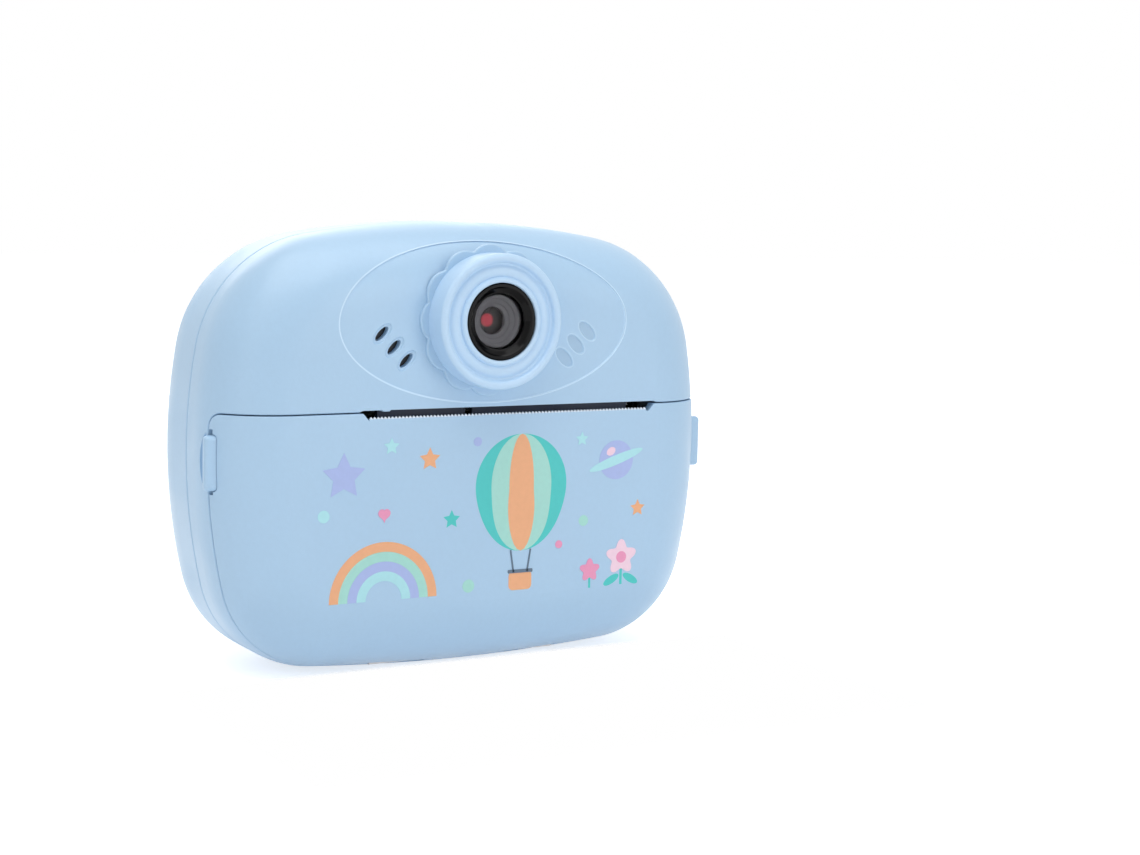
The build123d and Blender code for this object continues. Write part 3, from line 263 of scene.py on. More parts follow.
class MouldGrain(SharedGroup):
    """Fine spark-eroded texture of a moulded face, with faint flow marks and handling."""

    name = "mould_grain"
    takes = {"Vector": SocketKind.VECTOR, "Grain Scale": SocketKind.NUMBER}
    gives = ("Height", "Tone", "Wear")
    flow_scale, speck_scale, wear_scale = 0.012, 0.45, 0.03  # as shares of the grain's
    fine_share, flow_share = 0.7, 0.6

    def wire(self, tree: Tree, source) -> dict[str, Socket]:
        """Sums two sizes of grain, and gives slow variations beside them."""
        vector, scale = source["Vector"], source["Grain Scale"]
        fine = tree.noise(vector, scale, 3.0)
        pits = tree.add("TexVoronoi", {"Vector": vector, "Scale": scale}).outputs["Distance"]
        flow = tree.noise(vector, tree.math("MULTIPLY", scale, self.flow_scale))
        speck = tree.noise(vector, tree.math("MULTIPLY", scale, self.speck_scale), 1.0)
        wear = tree.noise(vector, tree.math("MULTIPLY", scale, self.wear_scale), 4.0)
        return {
            "Height": tree.blend(fine, pits, self.fine_share),
            "Tone": tree.blend(flow, speck, self.flow_share),
            "Wear": tree.ramp(wear, 0.35, 0.7),
        }


class LatheRings(SharedGroup):
    """Fine rings round an axis: turned steps, wound paper."""

    name = "lathe_rings"
    takes = {"Vector": SocketKind.VECTOR, "Pitch": SocketKind.NUMBER}
    gives = ("Height",)

    def wire(self, tree: Tree, source) -> dict[str, Socket]:
        """Turns the distance from the axis into a rounded ridge at every pitch."""
        wobble = tree.noise(source["Vector"], 900.0)
        turns = tree.math("DIVIDE", tree.length(source["Vector"]), source["Pitch"])
        turns = tree.math("ADD", turns, tree.math("MULTIPLY", wobble, 0.5))
        ridge = tree.math("SINE", tree.math("MULTIPLY", turns, 2 * math.pi))
        return {"Height": tree.math("ADD", tree.math("MULTIPLY", ridge, 0.5), 0.5)}


class DrawnLines(SharedGroup):
    """Long parallel scratches of drawn, rolled or ground stock."""

    name = "drawn_lines"
    takes = {"Vector": SocketKind.VECTOR, "Line Scale": SocketKind.NUMBER}
    gives = ("Height", "Smear")

    def wire(self, tree: Tree, source) -> dict[str, Socket]:
        """Reads noise from a vector that the finish has stretched."""
        vector, scale = source["Vector"], source["Line Scale"]
        lines = tree.noise(vector, scale, 3.0)
        broad = tree.noise(vector, tree.math("MULTIPLY", scale, 0.05))
        return {"Height": lines, "Smear": tree.ramp(broad, 0.3, 0.7)}


@cache
def shared(effect: type) -> bpy.types.NodeTree:
    """A shared group's tree, built the first time it is asked for."""
    return effect().group


# --- Finishes ---------------------------------------------------------------------------
@dataclass(frozen=True)
class Finish:
    """A surface finish; every kind of finish wires its own shader."""

    name: str
    colour: Colour
    roughness: float

    def make(self) -> bpy.types.Material:
        """The material that already has this name, or else a new one."""
        found = bpy.data.materials.get(self.name)
        if found:
            return found
        material = bpy.data.materials.new(self.name)
        material.use_nodes = True
        tree = Tree(material.node_tree)
        plain = {"Base Color": self.colour, "Roughness": self.roughness}
        shader = tree.add("BsdfPrincipled", plain)
        for name, value in self.wire(tree).items():
            tree.set(shader.inputs[name], value)
        tree.add("OutputMaterial", {"Surface": shader.outputs[0]})
        return material

    def wire(self, tree: Tree) -> Values:
        """Wires this finish's detail.

        Args:
            tree: The material's tree.

        Returns:
            The shader's inputs, by name.
        """
        raise NotImplementedError


@dataclass(frozen=True)
class Moulded(Finish):
    """Injection-moulded plastic with a spark-eroded texture."""

    grain: float = 2200.0
    relief: float = 0.012 * MM
    variation: float = 0.05
    gloss_spread: float = 0.08
    specular: float = 0.5
    coat: float = 0.0
    coat_roughness: float = 0.12

    def wire(self, tree: Tree) -> Values:
        """Grain in the height, and slow changes of tone and gloss."""
        skin = tree.use(MouldGrain, Vector=tree.place(), Grain_Scale=self.grain)
        light = shade_of(self.colour, 1 + self.variation)
        dark = shade_of(self.colour, 1 - self.variation)
        low, high = self.roughness - self.gloss_spread, self.roughness + self.gloss_spread
        return {
            "Base Color": tree.mix(skin.outputs["Tone"], dark, light),
            "Roughness": tree.ramp(skin.outputs["Wear"], 0.0, 1.0, low, high),
            "Normal": tree.bump(skin.outputs["Height"], self.relief),
            "Coat Weight": self.coat,
            "Coat Roughness": self.coat_roughness,
            "Specular IOR Level": self.specular,
        }


@dataclass(frozen=True)
class SteppedCover(Moulded):
    """The case plastic of the front, with painted highlights along the rims of its oval step and
    its dimples, and painted shade inside the dimples.
    """

    oval_centre: Pair = (0.0, 69.0 * MM)
    oval_halves: Pair = (31.6 * MM, 15.7 * MM)
    rim_core: float = 0.08 * MM
    rim_fade: float = 0.26 * MM
    # painted highlight: a pale colour along the oval step's rim, where a rounded edge would catch
    # the light
    rim_highlight_colour: Colour = srgb(207, 232, 252)
    dimple_centre: Pair = (20.05 * MM, 64.4 * MM)
    dimple_step: float = 2.6 * MM
    dimple_halves: Pair = (2.55 * MM, 1.33 * MM)
    dimple_turn: float = -45.0
    # painted shade: the colour factor that darkens each dimple's floor as if shaded in its recess
    dimple_painted_shade: float = 0.9
    # the share of the painted rim highlight that each dimple's rim gets
    dimple_highlight_share: float = 0.45

    def wire(self, tree: Tree) -> Values:
        """The case plastic, with a painted highlight along the rims and painted shade that makes
        each dimple a little darker.
        """
        values = super().wire(tree)
        # painted highlight mask along the oval's rim, and below along the dimples' rims
        rim_highlights = self._rim(tree, self.oval_centre, self.oval_halves, 0.0)
        floors = 0.0
        for step in (-1, 0, 1):
            spot = tuple(part + step * self.dimple_step for part in self.dimple_centre)
            rim = self._rim(tree, spot, self.dimple_halves, self.dimple_turn)
            rim_highlights = tree.math("MAXIMUM", rim_highlights, tree.math("MULTIPLY", rim, self.dimple_highlight_share))
            out = tree.oval(spot, self.dimple_halves, self.dimple_turn)
            floors = tree.math("ADD", floors, tree.ramp(out, 0.8, 0.96, 1.0, 0.0))
        # painted shade on the dimple floors
        shaded_dimple_colour = shade_of(self.colour, self.dimple_painted_shade)
        body = tree.mix(floors, values["Base Color"], shaded_dimple_colour)
        return {**values, "Base Color": tree.mix(rim_highlights, body, self.rim_highlight_colour)}

    def _rim(self, tree: Tree, centre: Pair, halves: Pair, turn: float) -> Socket:
        """1 along an oval's rim, and 0 away from it on both sides."""
        out = tree.oval(centre, halves, turn)
        slope = tree.oval(centre, tuple(half * half for half in halves), turn)
        away = tree.math("SUBTRACT", out, 1.0)
        away = tree.math("MULTIPLY", away, tree.math("DIVIDE", out, slope))
        return tree.ramp(tree.math("ABSOLUTE", away), self.rim_core, self.rim_fade, 1.0, 0.0)


@dataclass(frozen=True)
class ToothedCover(Moulded):
    """The case plastic of the door, with a painted highlight along its row of tear teeth."""

    tip_start: float = 50.70 * MM
    tip_end: float = 50.88 * MM
    # painted highlight: the whitened tooth tips stand in for light catching the teeth
    tip_highlight_colour: Colour = srgb(232, 242, 252)
    row_left: float = -25.3 * MM
    row_right: float = 37.6 * MM

    def wire(self, tree: Tree) -> Values:
        """The case plastic, with a painted highlight that makes the teeth whiter above a given
        height.
        """
        values = super().wire(tree)
        across, _, height = tree.split(tree.place())
        right = tree.math("GREATER_THAN", across, self.row_left)
        left = tree.math("LESS_THAN", across, self.row_right)
        # painted highlight mask over the tooth tips along the row
        tip_highlights = tree.ramp(height, self.tip_start, self.tip_end)
        tip_highlights = tree.math("MULTIPLY", tip_highlights, tree.math("MULTIPLY", left, right))
        return {**values, "Base Color": tree.mix(tip_highlights, values["Base Color"], self.tip_highlight_colour)}


@dataclass(frozen=True)
class Metal(Finish):
    """Drawn, rolled or turned metal."""

    along: Point = (0.05, 1.0, 1.0)
    lines: float = 3000.0
    relief: float = 0.004 * MM

    def wire(self, tree: Tree) -> Values:
        """Scratches along the stock, and smeared reflections."""
        vector = tree.place(scale=self.along)
        scratch = tree.use(DrawnLines, Vector=vector, Line_Scale=self.lines)
        smear = scratch.outputs["Smear"]
        worn, clean = shade_of(self.colour, 0.86), shade_of(self.colour, 1.05)
        return {
            "Base Color": tree.mix(smear, worn, clean),
            "Metallic": 1.0,
            "Roughness": tree.ramp(smear, 0.0, 1.0, self.roughness * 0.8, self.roughness * 1.25),
            "Normal": tree.bump(scratch.outputs["Height"], self.relief),
        }


@dataclass(frozen=True)
class TurnedPlastic(Finish):
    """Dark plastic with fine turned rings round the lens axis."""

    centre: Point
    pitch: float = 0.32 * MM
    relief: float = 0.03 * MM
    # painted highlight: how much paler each ring's crest is painted
    crest_highlight: float = 1.45

    def wire(self, tree: Tree) -> Values:
        """Rings in the height, and a painted highlight that makes each crest paler."""
        vector = tree.place(self.centre, (1, 0, 1))
        rings = tree.use(LatheRings, Vector=vector, Pitch=self.pitch)
        crest = rings.outputs["Height"]
        # painted highlight colour for the crests
        light = shade_of(self.colour, self.crest_highlight)
        return {
            "Base Color": tree.mix(crest, self.colour, light),
            "Normal": tree.bump(crest, self.relief),
        }


@dataclass(frozen=True)
class Pupil(Finish):
    """The dark stop behind the lens, with the red of the lens coating's reflection painted in the
    middle, glowing a little though it is no lamp.
    """

    centre: Point
    # painted reflection: the red of the lens coating's reflection, painted on the stop
    glow: Colour = srgb(204, 62, 76)
    radius: float = 1.18 * MM
    fade: Pair = (0.82, 1.12)
    # painted glow: an emission strength, though the stop is no lamp
    painted_glow_strength: float = 0.42
    specular: float = 0.1

    def wire(self, tree: Tree) -> Values:
        """A red disc with a soft edge: a painted reflection that also glows a little as painted
        light.
        """
        distance = tree.length(tree.place(self.centre, (1, 0, 1)))
        outside = tree.ramp(distance, *(self.radius * share for share in self.fade))
        mottle = tree.noise(tree.place(self.centre), 1500.0)
        red = tree.mix(mottle, shade_of(self.glow, 0.85), shade_of(self.glow, 1.15))
        return {
            "Base Color": tree.mix(outside, red, self.colour),
            # painted glow of the red disc
            "Emission Color": tree.mix(outside, red, (0.0, 0.0, 0.0)),
            "Emission Strength": self.painted_glow_strength,
            "Specular IOR Level": self.specular,
        }


@dataclass(frozen=True)
class Clear(Finish):
    """Clear or tinted glass or acrylic."""

    index: float
    wiping: float = 0.03

    def wire(self, tree: Tree) -> Values:
        """Full transmission, with faint wiping marks in the gloss."""
        haze = tree.noise(tree.place(scale=(1, 1, 0.3)), 260.0, 3.0)
        rough = tree.ramp(haze, 0.35, 0.8, self.roughness, self.roughness + self.wiping)
        return {"Transmission Weight": 1.0, "IOR": self.index, "Roughness": rough}


@dataclass(frozen=True)
class DarkPanel(Finish):
    """A glossy black screen panel whose display area shows faintly."""

    centre: Point
    half_width: float = 18.5 * MM
    half_height: float = 13.5 * MM
    display: Colour = srgb(38, 43, 52)
    edge: float = 0.05 * MM
    smudges: float = 0.12
    specular: float = 0.3

    def wire(self, tree: Tree) -> Values:
        """A rectangle of display colour, with a fine mesh of cells and finger smudges."""
        along, _, up = tree.split(tree.place(self.centre))
        sides = tree.math("SUBTRACT", tree.math("ABSOLUTE", along), self.half_width)
        ends = tree.math("SUBTRACT", tree.math("ABSOLUTE", up), self.half_height)
        edge = tree.ramp(tree.math("MAXIMUM", sides, ends), -self.edge, self.edge)
        cell = tree.add("TexChecker", {"Vector": tree.place(self.centre), "Scale": 5200.0})
        glass = tree.mix(cell.outputs["Fac"], self.display, shade_of(self.display, 0.8))
        smudge = tree.noise(tree.place(scale=(1, 1, 0.6)), 120.0, 4.0)
        low, high = self.roughness, self.roughness + self.smudges
        return {
            "Base Color": tree.mix(edge, glass, self.colour),
            "Roughness": tree.ramp(smudge, 0.45, 0.75, low, high),
            "Specular IOR Level": self.specular,
        }


@dataclass(frozen=True)
class Ink(Finish):
    """Pad-printed ink that keeps the texture of the plastic under it."""

    grain: float = 2200.0
    relief: float = 0.014 * MM

    def wire(self, tree: Tree) -> Values:
        """The plastic's grain, and an uneven laydown of ink."""
        skin = tree.use(MouldGrain, Vector=tree.place(), Grain_Scale=self.grain)
        thin, full = shade_of(self.colour, 1.12), shade_of(self.colour, 0.94)
        return {
            "Base Color": tree.mix(skin.outputs["Tone"], full, thin),
            "Normal": tree.bump(skin.outputs["Height"], self.relief),
        }


@dataclass(frozen=True)
class WoundPaper(Finish):
    """A roll of thermal paper: fine layers on its ends and a faint sheen outside."""

    centre: Point
    layer: float = 0.26 * MM
    relief: float = 0.03 * MM

    def wire(self, tree: Tree) -> Values:
        """Rings round the roll's axis and slight waviness along it, with painted shade darkening
        the gaps between layers.
        """
        vector = tree.place(self.centre, (0, 1, 1))
        rings = tree.use(LatheRings, Vector=vector, Pitch=self.layer)
        fibre = tree.noise(tree.place(scale=(0.3, 1, 1)), 1400.0, 4.0)
        tone = tree.blend(rings.outputs["Height"], fibre, 0.5)
        # painted shade: darker colour in the gaps between wound layers, mixed with random fibre
        # tone
        painted_gap_shade = shade_of(self.colour, 0.86)
        return {
            "Base Color": tree.mix(tone, painted_gap_shade, self.colour),
            "Normal": tree.bump(tone, self.relief),
        }


@dataclass(frozen=True)
class Elastomer(Finish):
    """Ground rubber."""

    fibres: Colour = srgb(150, 150, 152)
    relief: float = 0.02 * MM

    def wire(self, tree: Tree) -> Values:
        """Fine grinding marks and a dusting of paper fibres."""
        vector = tree.place(scale=(0.4, 1, 1))
        marks = tree.use(DrawnLines, Vector=vector, Line_Scale=2600.0)
        dusty = tree.ramp(tree.noise(tree.place(), 3800.0), 0.62, 0.74, 0.0, 0.5)
        return {
            "Base Color": tree.mix(dusty, self.colour, self.fibres),
            "Normal": tree.bump(marks.outputs["Height"], self.relief),
        }


@dataclass(frozen=True)
class CircuitBoard(Finish):
    """Solder mask over copper tracks, with tinned pads."""

    density: float = 620.0
    tin: Colour = srgb(205, 200, 190)
    relief: float = 0.03 * MM
    coat: float = 0.5

    def wire(self, tree: Tree) -> Values:
        """Blocky cells give tracks, and their middles give pads."""
        inputs = {"Vector": tree.place(scale=(1, 0, 1)), "Scale": self.density}
        cells = tree.add("TexVoronoi", inputs, distance="CHEBYCHEV")
        tracks = tree.ramp(cells.outputs["Distance"], 0.30, 0.36)
        pads = tree.ramp(cells.outputs["Distance"], 0.10, 0.12, 1.0, 0.0)
        mask = tree.mix(tracks, self.colour, shade_of(self.colour, 1.7))
        return {
            "Base Color": tree.mix(pads, mask, self.tin),
            "Normal": tree.bump(tracks, self.relief),
            "Coat Weight": self.coat,
        }


@dataclass(frozen=True)
class FlatCable(Finish):
    """A flat cable with parallel conductors under its film."""

    pitch: float = 0.5 * MM
    copper: Colour = srgb(196, 128, 70)
    relief: float = 0.02 * MM
    coat: float = 0.4

    def wire(self, tree: Tree) -> Values:
        """Stripes along the cable."""
        across = tree.split(tree.place())[0]
        phase = tree.math("DIVIDE", across, self.pitch)
        stripe = tree.math("PINGPONG", phase, 0.5)
        ridge = tree.ramp(stripe, 0.2, 0.28)
        return {
            "Base Color": tree.mix(ridge, self.colour, self.copper),
            "Normal": tree.bump(ridge, self.relief),
            "Coat Weight": self.coat,
        }


@dataclass(frozen=True)
class Pouch(Finish):
    """The crinkled foil pouch of a flat battery."""

    metallic: float = 0.6
    relief: float = 0.12 * MM

    def wire(self, tree: Tree) -> Values:
        """Shallow folds and a satin metal gloss."""
        crinkle = tree.noise(tree.place(scale=(1, 0.4, 1)), 240.0, 5.0)
        smear = tree.noise(tree.place(), 70.0)
        dull = shade_of(self.colour, 0.85)
        return {
            "Base Color": tree.mix(smear, dull, self.colour),
            "Metallic": self.metallic,
            "Normal": tree.bump(crinkle, self.relief),
        }


@dataclass(frozen=True)
class WireCover(Finish):
    """Two colours of lead insulation, told apart by where each lead runs."""

    other: Colour = srgb(30, 30, 32)
    pair_pitch: float = 3.4 * MM
    relief: float = 0.02 * MM

    def wire(self, tree: Tree) -> Values:
        """Colour by place, with faint extrusion lines."""
        across = tree.split(tree.place())[0]
        phase = tree.math("PINGPONG", across, self.pair_pitch * 0.5)
        second = tree.ramp(phase, self.pair_pitch * 0.2, self.pair_pitch * 0.3)
        vector = tree.place(scale=(1, 0.1, 1))
        lines = tree.use(DrawnLines, Vector=vector, Line_Scale=2000.0)
        return {
            "Base Color": tree.mix(second, self.colour, self.other),
            "Normal": tree.bump(lines.outputs["Height"], self.relief),
        }


CASE_PLASTIC = {"colour": srgb(173, 205, 232), "roughness": 0.36, "gloss_spread": 0.05}


class Finishes:
    """The finishes of this camera that need no place on it.

    The frame has its own barrel_grey, board_green and head_ceramic, so those show instead.
    """

    case = Moulded("case_blue", **CASE_PLASTIC)
    front = SteppedCover("front_blue", **CASE_PLASTIC)
    door = ToothedCover("door_blue", **CASE_PLASTIC)
    # painted light: the ring is a paler copy of the case blue, lighter to stand in for the light
    # on its face
    lit_ring_blue = Moulded(
        "lens_ring_blue", srgb(191, 220, 246), 0.36, grain=2600.0, relief=0.006 * MM
    )
    black_gloss = Moulded("bezel_black", srgb(3, 3, 4), 0.12, relief=0.001 * MM, specular=0.13)
    black = Moulded("inner_black", srgb(38, 38, 41), 0.5)
    bay = Moulded("bay_pale", srgb(214, 225, 238), 0.5)
    guide = Moulded("guide_slate", srgb(38, 48, 68), 0.45, relief=0.006 * MM, specular=0.35)
    acetal = Moulded("gear_white", srgb(236, 236, 228), 0.38, relief=0.004 * MM)
    bush = Moulded("bush_natural", srgb(226, 222, 208), 0.35, relief=0.004 * MM)
    key = Moulded("key_white", srgb(240, 242, 246), 0.25, relief=0.003 * MM, coat=0.4)
    accent = Moulded("button_pink", srgb(242, 170, 192), 0.25, relief=0.003 * MM, coat=0.4)
    steel = Metal("plain_steel", (0.56, 0.56, 0.58), 0.32)
    sink = Metal("sink_aluminium", (0.76, 0.77, 0.79), 0.38, along=(1.0, 0.06, 1.0))
    brass = Metal("pinion_brass", (0.80, 0.60, 0.30), 0.30)
    ceramic = Moulded("head_ceramic", srgb(222, 216, 204), 0.22, relief=0.002 * MM, coat=0.6)
    rubber = Elastomer("platen_rubber", srgb(52, 52, 55), 0.72)
    board = CircuitBoard("board_green", srgb(24, 104, 62), 0.32)
    film = FlatCable("cable_amber", srgb(206, 150, 80), 0.3)
    pouch = Pouch("pouch_foil", srgb(186, 190, 196), 0.34)
    leads = WireCover("lead_red", srgb(196, 36, 34), 0.42)
    window = Clear("window_clear", (1.0, 1.0, 1.0), 0.0, index=1.14)
    element = Clear("element_coated", (0.62, 0.55, 0.60), 0.0, index=1.2)


# --- Pieces -----------------------------------------------------------------------------
def dress(finish: Finish, *nodes: str) -> None:
    """Gives CAD nodes a finish.

    Args:
        finish: The finish.
        nodes: The nodes' names.
    """
    for node in nodes:
        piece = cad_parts[node]
        if not piece.material_slots:
            piece.data.materials.append(None)
        for place in piece.material_slots:
            place.material = finish.make()


def middle(node: str) -> Vector:
    """The middle of a node's box, in metres."""
    low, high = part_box(node)
    return (Vector(low) + Vector(high)) / 2


class Facing(Enum):
    """Which way an upright printed face looks."""

    FRONT = -1
    REAR = 1


class Stencil:
    """Flat printed shapes of one ink, gathered on an upright face."""

    root = 0.05 * MM  # how far each shape reaches into the face
    waist = 0.5  # a star's inner corners, as a share of its outer ones

    def __init__(self, face: float, facing: Facing, film: float) -> None:
        """Starts a stencil.

        Args:
            face: The face's place along the depth, in metres.
            facing: Which way the face looks.
            film: How far the ink stands out of the face.
        """
        self.mesh = bmesh.new()
        self.back = face - facing.value * self.root
        self.step = facing.value * (film + self.root)

    def polar(self, x: float, z: float, radius_at: Outline, sides: int = 96) -> None:
        """A closed shape round a centre.

        Args:
            x: The centre across, in millimetres.
            z: The centre's height, in millimetres.
            radius_at: The radius in millimetres for an angle in radians, 0 to the right.
            sides: How many corners the outline has.
        """
        made = bmesh.ops.create_circle(self.mesh, cap_ends=True, radius=1.0, segments=sides)
        for vert in made["verts"]:
            vert.co *= radius_at(math.atan2(vert.co.y, vert.co.x) % (2 * math.pi))
        self._raise(made["verts"], x, z, 0.0)

    def disc(
        self, x: float, z: float, wide: float, high: float | None = None, turn: float = 0.0
    ) -> None:
        """A disc or an ellipse, given by its half sizes in millimetres."""
        made = bmesh.ops.create_circle(self.mesh, cap_ends=True, radius=1.0, segments=48)
        bmesh.ops.scale(self.mesh, verts=made["verts"], vec=(wide, high or wide, 1.0))
        self._raise(made["verts"], x, z, turn)

    def bar(self, x: float, z: float, wide: float, high: float, turn: float = 0.0) -> None:
        """A rectangle with slightly rounded corners, in millimetres."""
        before = set(self.mesh.verts)
        made = bmesh.ops.create_grid(self.mesh, x_segments=1, y_segments=1, size=0.5)
        bmesh.ops.scale(self.mesh, verts=made["verts"], vec=(wide, high, 1.0))
        bmesh.ops.bevel(
            self.mesh,
            geom=made["verts"],
            offset=min(wide, high) * 0.25,
            segments=4,
            profile=0.5,
            affect="VERTICES",
            material=-1,
        )
        self._raise(self._since(before), x, z, turn)

    def arch(self, x: float, z: float, inner: float, outer: float, sweep: float = 180.0) -> None:
        """A part of a flat ring that starts at the right, in millimetres and degrees."""
        before = set(self.mesh.verts)
        ends = [self.mesh.verts.new((inner, 0, 0)), self.mesh.verts.new((outer, 0, 0))]
        edge = self.mesh.edges.new(ends)
        bmesh.ops.spin(
            self.mesh,
            geom=[*ends, edge],
            angle=math.radians(sweep),
            steps=48,
            axis=(0, 0, 1),
            use_merge=sweep >= 360,
        )
        self._raise(self._since(before), x, z, 0.0)

    def star(self, x: float, z: float, size: float) -> None:
        """A star with five points, the first of them up."""
        made = bmesh.ops.create_circle(self.mesh, cap_ends=True, radius=size, segments=10)
        first = made["verts"][0].co
        upward = Matrix.Rotation(math.pi / 2 - math.atan2(first.y, first.x), 3, "Z")
        bmesh.ops.rotate(self.mesh, verts=made["verts"], matrix=upward)
        inner = made["verts"][1::2]
        bmesh.ops.scale(self.mesh, verts=inner, vec=(self.waist, self.waist, 1.0))
        self._raise(made["verts"], x, z, 0.0)

    def _since(self, before: set[bmesh.types.BMVert]) -> list[bmesh.types.BMVert]:
        """The corners that were made since the mesh had the given ones."""
        return [vert for vert in self.mesh.verts if vert not in before]

    def _raise(self, verts: Sequence[bmesh.types.BMVert], x: float, z: float, turn: float) -> None:
        """Turns a flat shape upright, puts it in its place and gives it its film thickness."""
        faces = list(dict.fromkeys(face for vert in verts for face in vert.link_faces))
        place = Matrix.Rotation(math.radians(turn), 4, "Z")
        upright = Matrix.Rotation(math.pi / 2, 4, "X") @ place
        bmesh.ops.transform(self.mesh, matrix=Matrix.Scale(MM, 4) @ upright, verts=verts)
        bmesh.ops.translate(self.mesh, verts=verts, vec=(x * MM, self.back, z * MM))
        raised = bmesh.ops.extrude_face_region(self.mesh, geom=faces, use_keep_orig=True)
        moved = [item for item in raised["geom"] if isinstance(item, bmesh.types.BMVert)]
        bmesh.ops.translate(self.mesh, verts=moved, vec=(0, self.step, 0))

    def publish(self, name: str, ink: Finish, body: str, slot: str) -> None:
        """Ends the stencil as a piece at the origin that rides on a body.

        Args:
            name: The piece's name.
            ink: What it is made of.
            body: The body it moves with.
            slot: A material slot's name; not used.
        """
        bmesh.ops.recalc_face_normals(self.mesh, faces=self.mesh.faces)
        data = bpy.data.meshes.new(name)
        self.mesh.to_mesh(data)
        self.mesh.free()
        data.materials.append(ink.make())
        piece = bpy.data.objects.new(name, data)
        bpy.context.scene.collection.objects.link(piece)
        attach(piece, body)


# --- Sub-assemblies ---------------------------------------------------------------------
@dataclass
class Casing:
    """Front and rear shell, door, latches and their hinge."""

    def build(self) -> None:
        """Dresses the covers."""
        dress(Finishes.case, "rear_shell", "latch_left", "latch_right")
        dress(Finishes.front, "front_shell")
        dress(Finishes.door, "paper_door")
        dress(Finishes.steel, "hinge_pin", "case_screws")


@dataclass
class DoorPrint:
    """The picture printed on the door: a balloon, a rainbow, stars, a ringed ball, flowers."""

    film: float = 0.014 * MM
    gloss: float = 0.42
    balloon_x: float = 8.0
    balloon_z: float = 36.5
    balloon_size: float = 10.3
    balloon_droop: float = 0.28
    rainbow_x: float = -22.0
    rainbow_z: float = 15.6
    rainbow_band: float = 1.9
    rainbow_outer: float = 11.4

    def build(self) -> None:
        """Prints every ink, from the lowest film to the highest."""
        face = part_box("paper_door")[0][1]
        prints = (
            ("teal", srgb(72, 197, 194), self._teal),
            ("mint", srgb(163, 217, 207), self._mint),
            ("peach", srgb(235, 172, 128), self._peach),
            ("lavender", srgb(168, 184, 230), self._lavender),
            ("aqua", srgb(172, 224, 232), self._aqua),
            ("blush", srgb(240, 208, 224), self._blush),
            ("pink", srgb(232, 150, 186), self._pink),
            ("slate", srgb(92, 112, 132), self._slate),
        )
        for level, (name, colour, draw) in enumerate(prints, start=1):
            stencil = Stencil(face, Facing.FRONT, self.film * level)
            draw(stencil)
            ink = Ink("ink_" + name, colour, self.gloss)
            stencil.publish("print_" + name, ink, "door", "case_plastic")

    def _envelope(self, share: float) -> Outline:
        """The outline of the balloon or of its inner gores, drawn down to the mouth."""

        def radius_at(angle: float) -> float:
            """The radius for one direction."""
            across, up = math.cos(angle), math.sin(angle)
            droop = 1 + self.balloon_droop * max(0.0, -up) ** 3
            return self.balloon_size * droop / math.hypot(across / share, up)

        return radius_at

    def _bow(self, ink: Stencil, order: int) -> None:
        """One band of the rainbow, counted from the outermost."""
        outer = self.rainbow_outer - order * self.rainbow_band
        ink.arch(self.rainbow_x, self.rainbow_z, outer - self.rainbow_band, outer)

    def _flower(self, ink: Stencil, x: float, z: float, size: float) -> None:
        """A round flower with five lobes."""

        def radius_at(angle: float) -> float:
            """The radius for one direction."""
            return size * (0.82 + 0.18 * math.cos(5 * (angle - math.pi / 2)))

        ink.polar(x, z, radius_at, 80)

    def _teal(self, ink: Stencil) -> None:
        """The balloon's outer gores, a star, and the flowers' leaves."""
        ink.polar(self.balloon_x, self.balloon_z, self._envelope(1.0))
        ink.disc(29.4, 15.8, 2.0, 0.8, 28)
        ink.disc(34.0, 15.8, 2.0, 0.8, 150)
        ink.bar(31.7, 16.4, 0.6, 3.4)
        ink.bar(24.2, 15.6, 0.5, 2.2)
        ink.star(-7.5, 30.5, 1.9)

    def _mint(self, ink: Stencil) -> None:
        """Paler gores, and the rainbow's second band."""
        ink.polar(self.balloon_x, self.balloon_z, self._envelope(0.66))
        self._bow(ink, 1)
        ink.disc(22.5, 28.5, 1.1)
        ink.disc(-3.6, 17.0, 1.3)

    def _peach(self, ink: Stencil) -> None:
        """The middle gore, the basket and the rainbow's outer band."""
        ink.polar(self.balloon_x, self.balloon_z, self._envelope(0.27))
        ink.bar(self.balloon_x, 17.3, 5.2, 3.8)
        self._bow(ink, 0)
        ink.star(-12.4, 42.6, 2.3)
        ink.star(35.4, 30.4, 1.8)

    def _lavender(self, ink: Stencil) -> None:
        """The large star, the ringed ball and the rainbow's third band."""
        self._bow(ink, 2)
        ink.star(-30.5, 40.0, 4.6)
        ink.disc(30.0, 40.6, 4.0)
        ink.disc(-2.0, 45.6, 0.9)

    def _aqua(self, ink: Stencil) -> None:
        """The ball's ring, small stars and the rainbow's inner band."""
        self._bow(ink, 3)
        ink.disc(30.0, 40.6, 6.6, 1.0, 18)
        ink.star(-20.6, 45.4, 1.7)
        ink.star(21.8, 45.2, 1.5)
        ink.disc(-34.6, 32.6, 1.2)

    def _blush(self, ink: Stencil) -> None:
        """The large flower, and the lit side of the ball."""
        self._flower(ink, 31.7, 20.4, 3.7)
        ink.disc(28.7, 42.4, 1.1, 0.8, 30)

    def _pink(self, ink: Stencil) -> None:
        """The small flower, the flower's eye, a heart and a dot."""
        self._flower(ink, 24.2, 18.2, 2.4)
        ink.disc(31.7, 20.4, 1.2)
        ink.polar(-22.0, 33.0, self._heart(2.3))
        ink.disc(16.8, 24.0, 0.8)

    def _slate(self, ink: Stencil) -> None:
        """The balloon's ropes and the basket's rim."""
        for side in (-1, 1):
            ink.bar(self.balloon_x + side * 1.9, 21.3, 0.32, 4.6, side * -9)
        ink.bar(self.balloon_x, 19.2, 5.6, 0.7)

    @staticmethod
    def _heart(size: float) -> Outline:
        """The outline of a heart, counted from the notch between its lobes."""

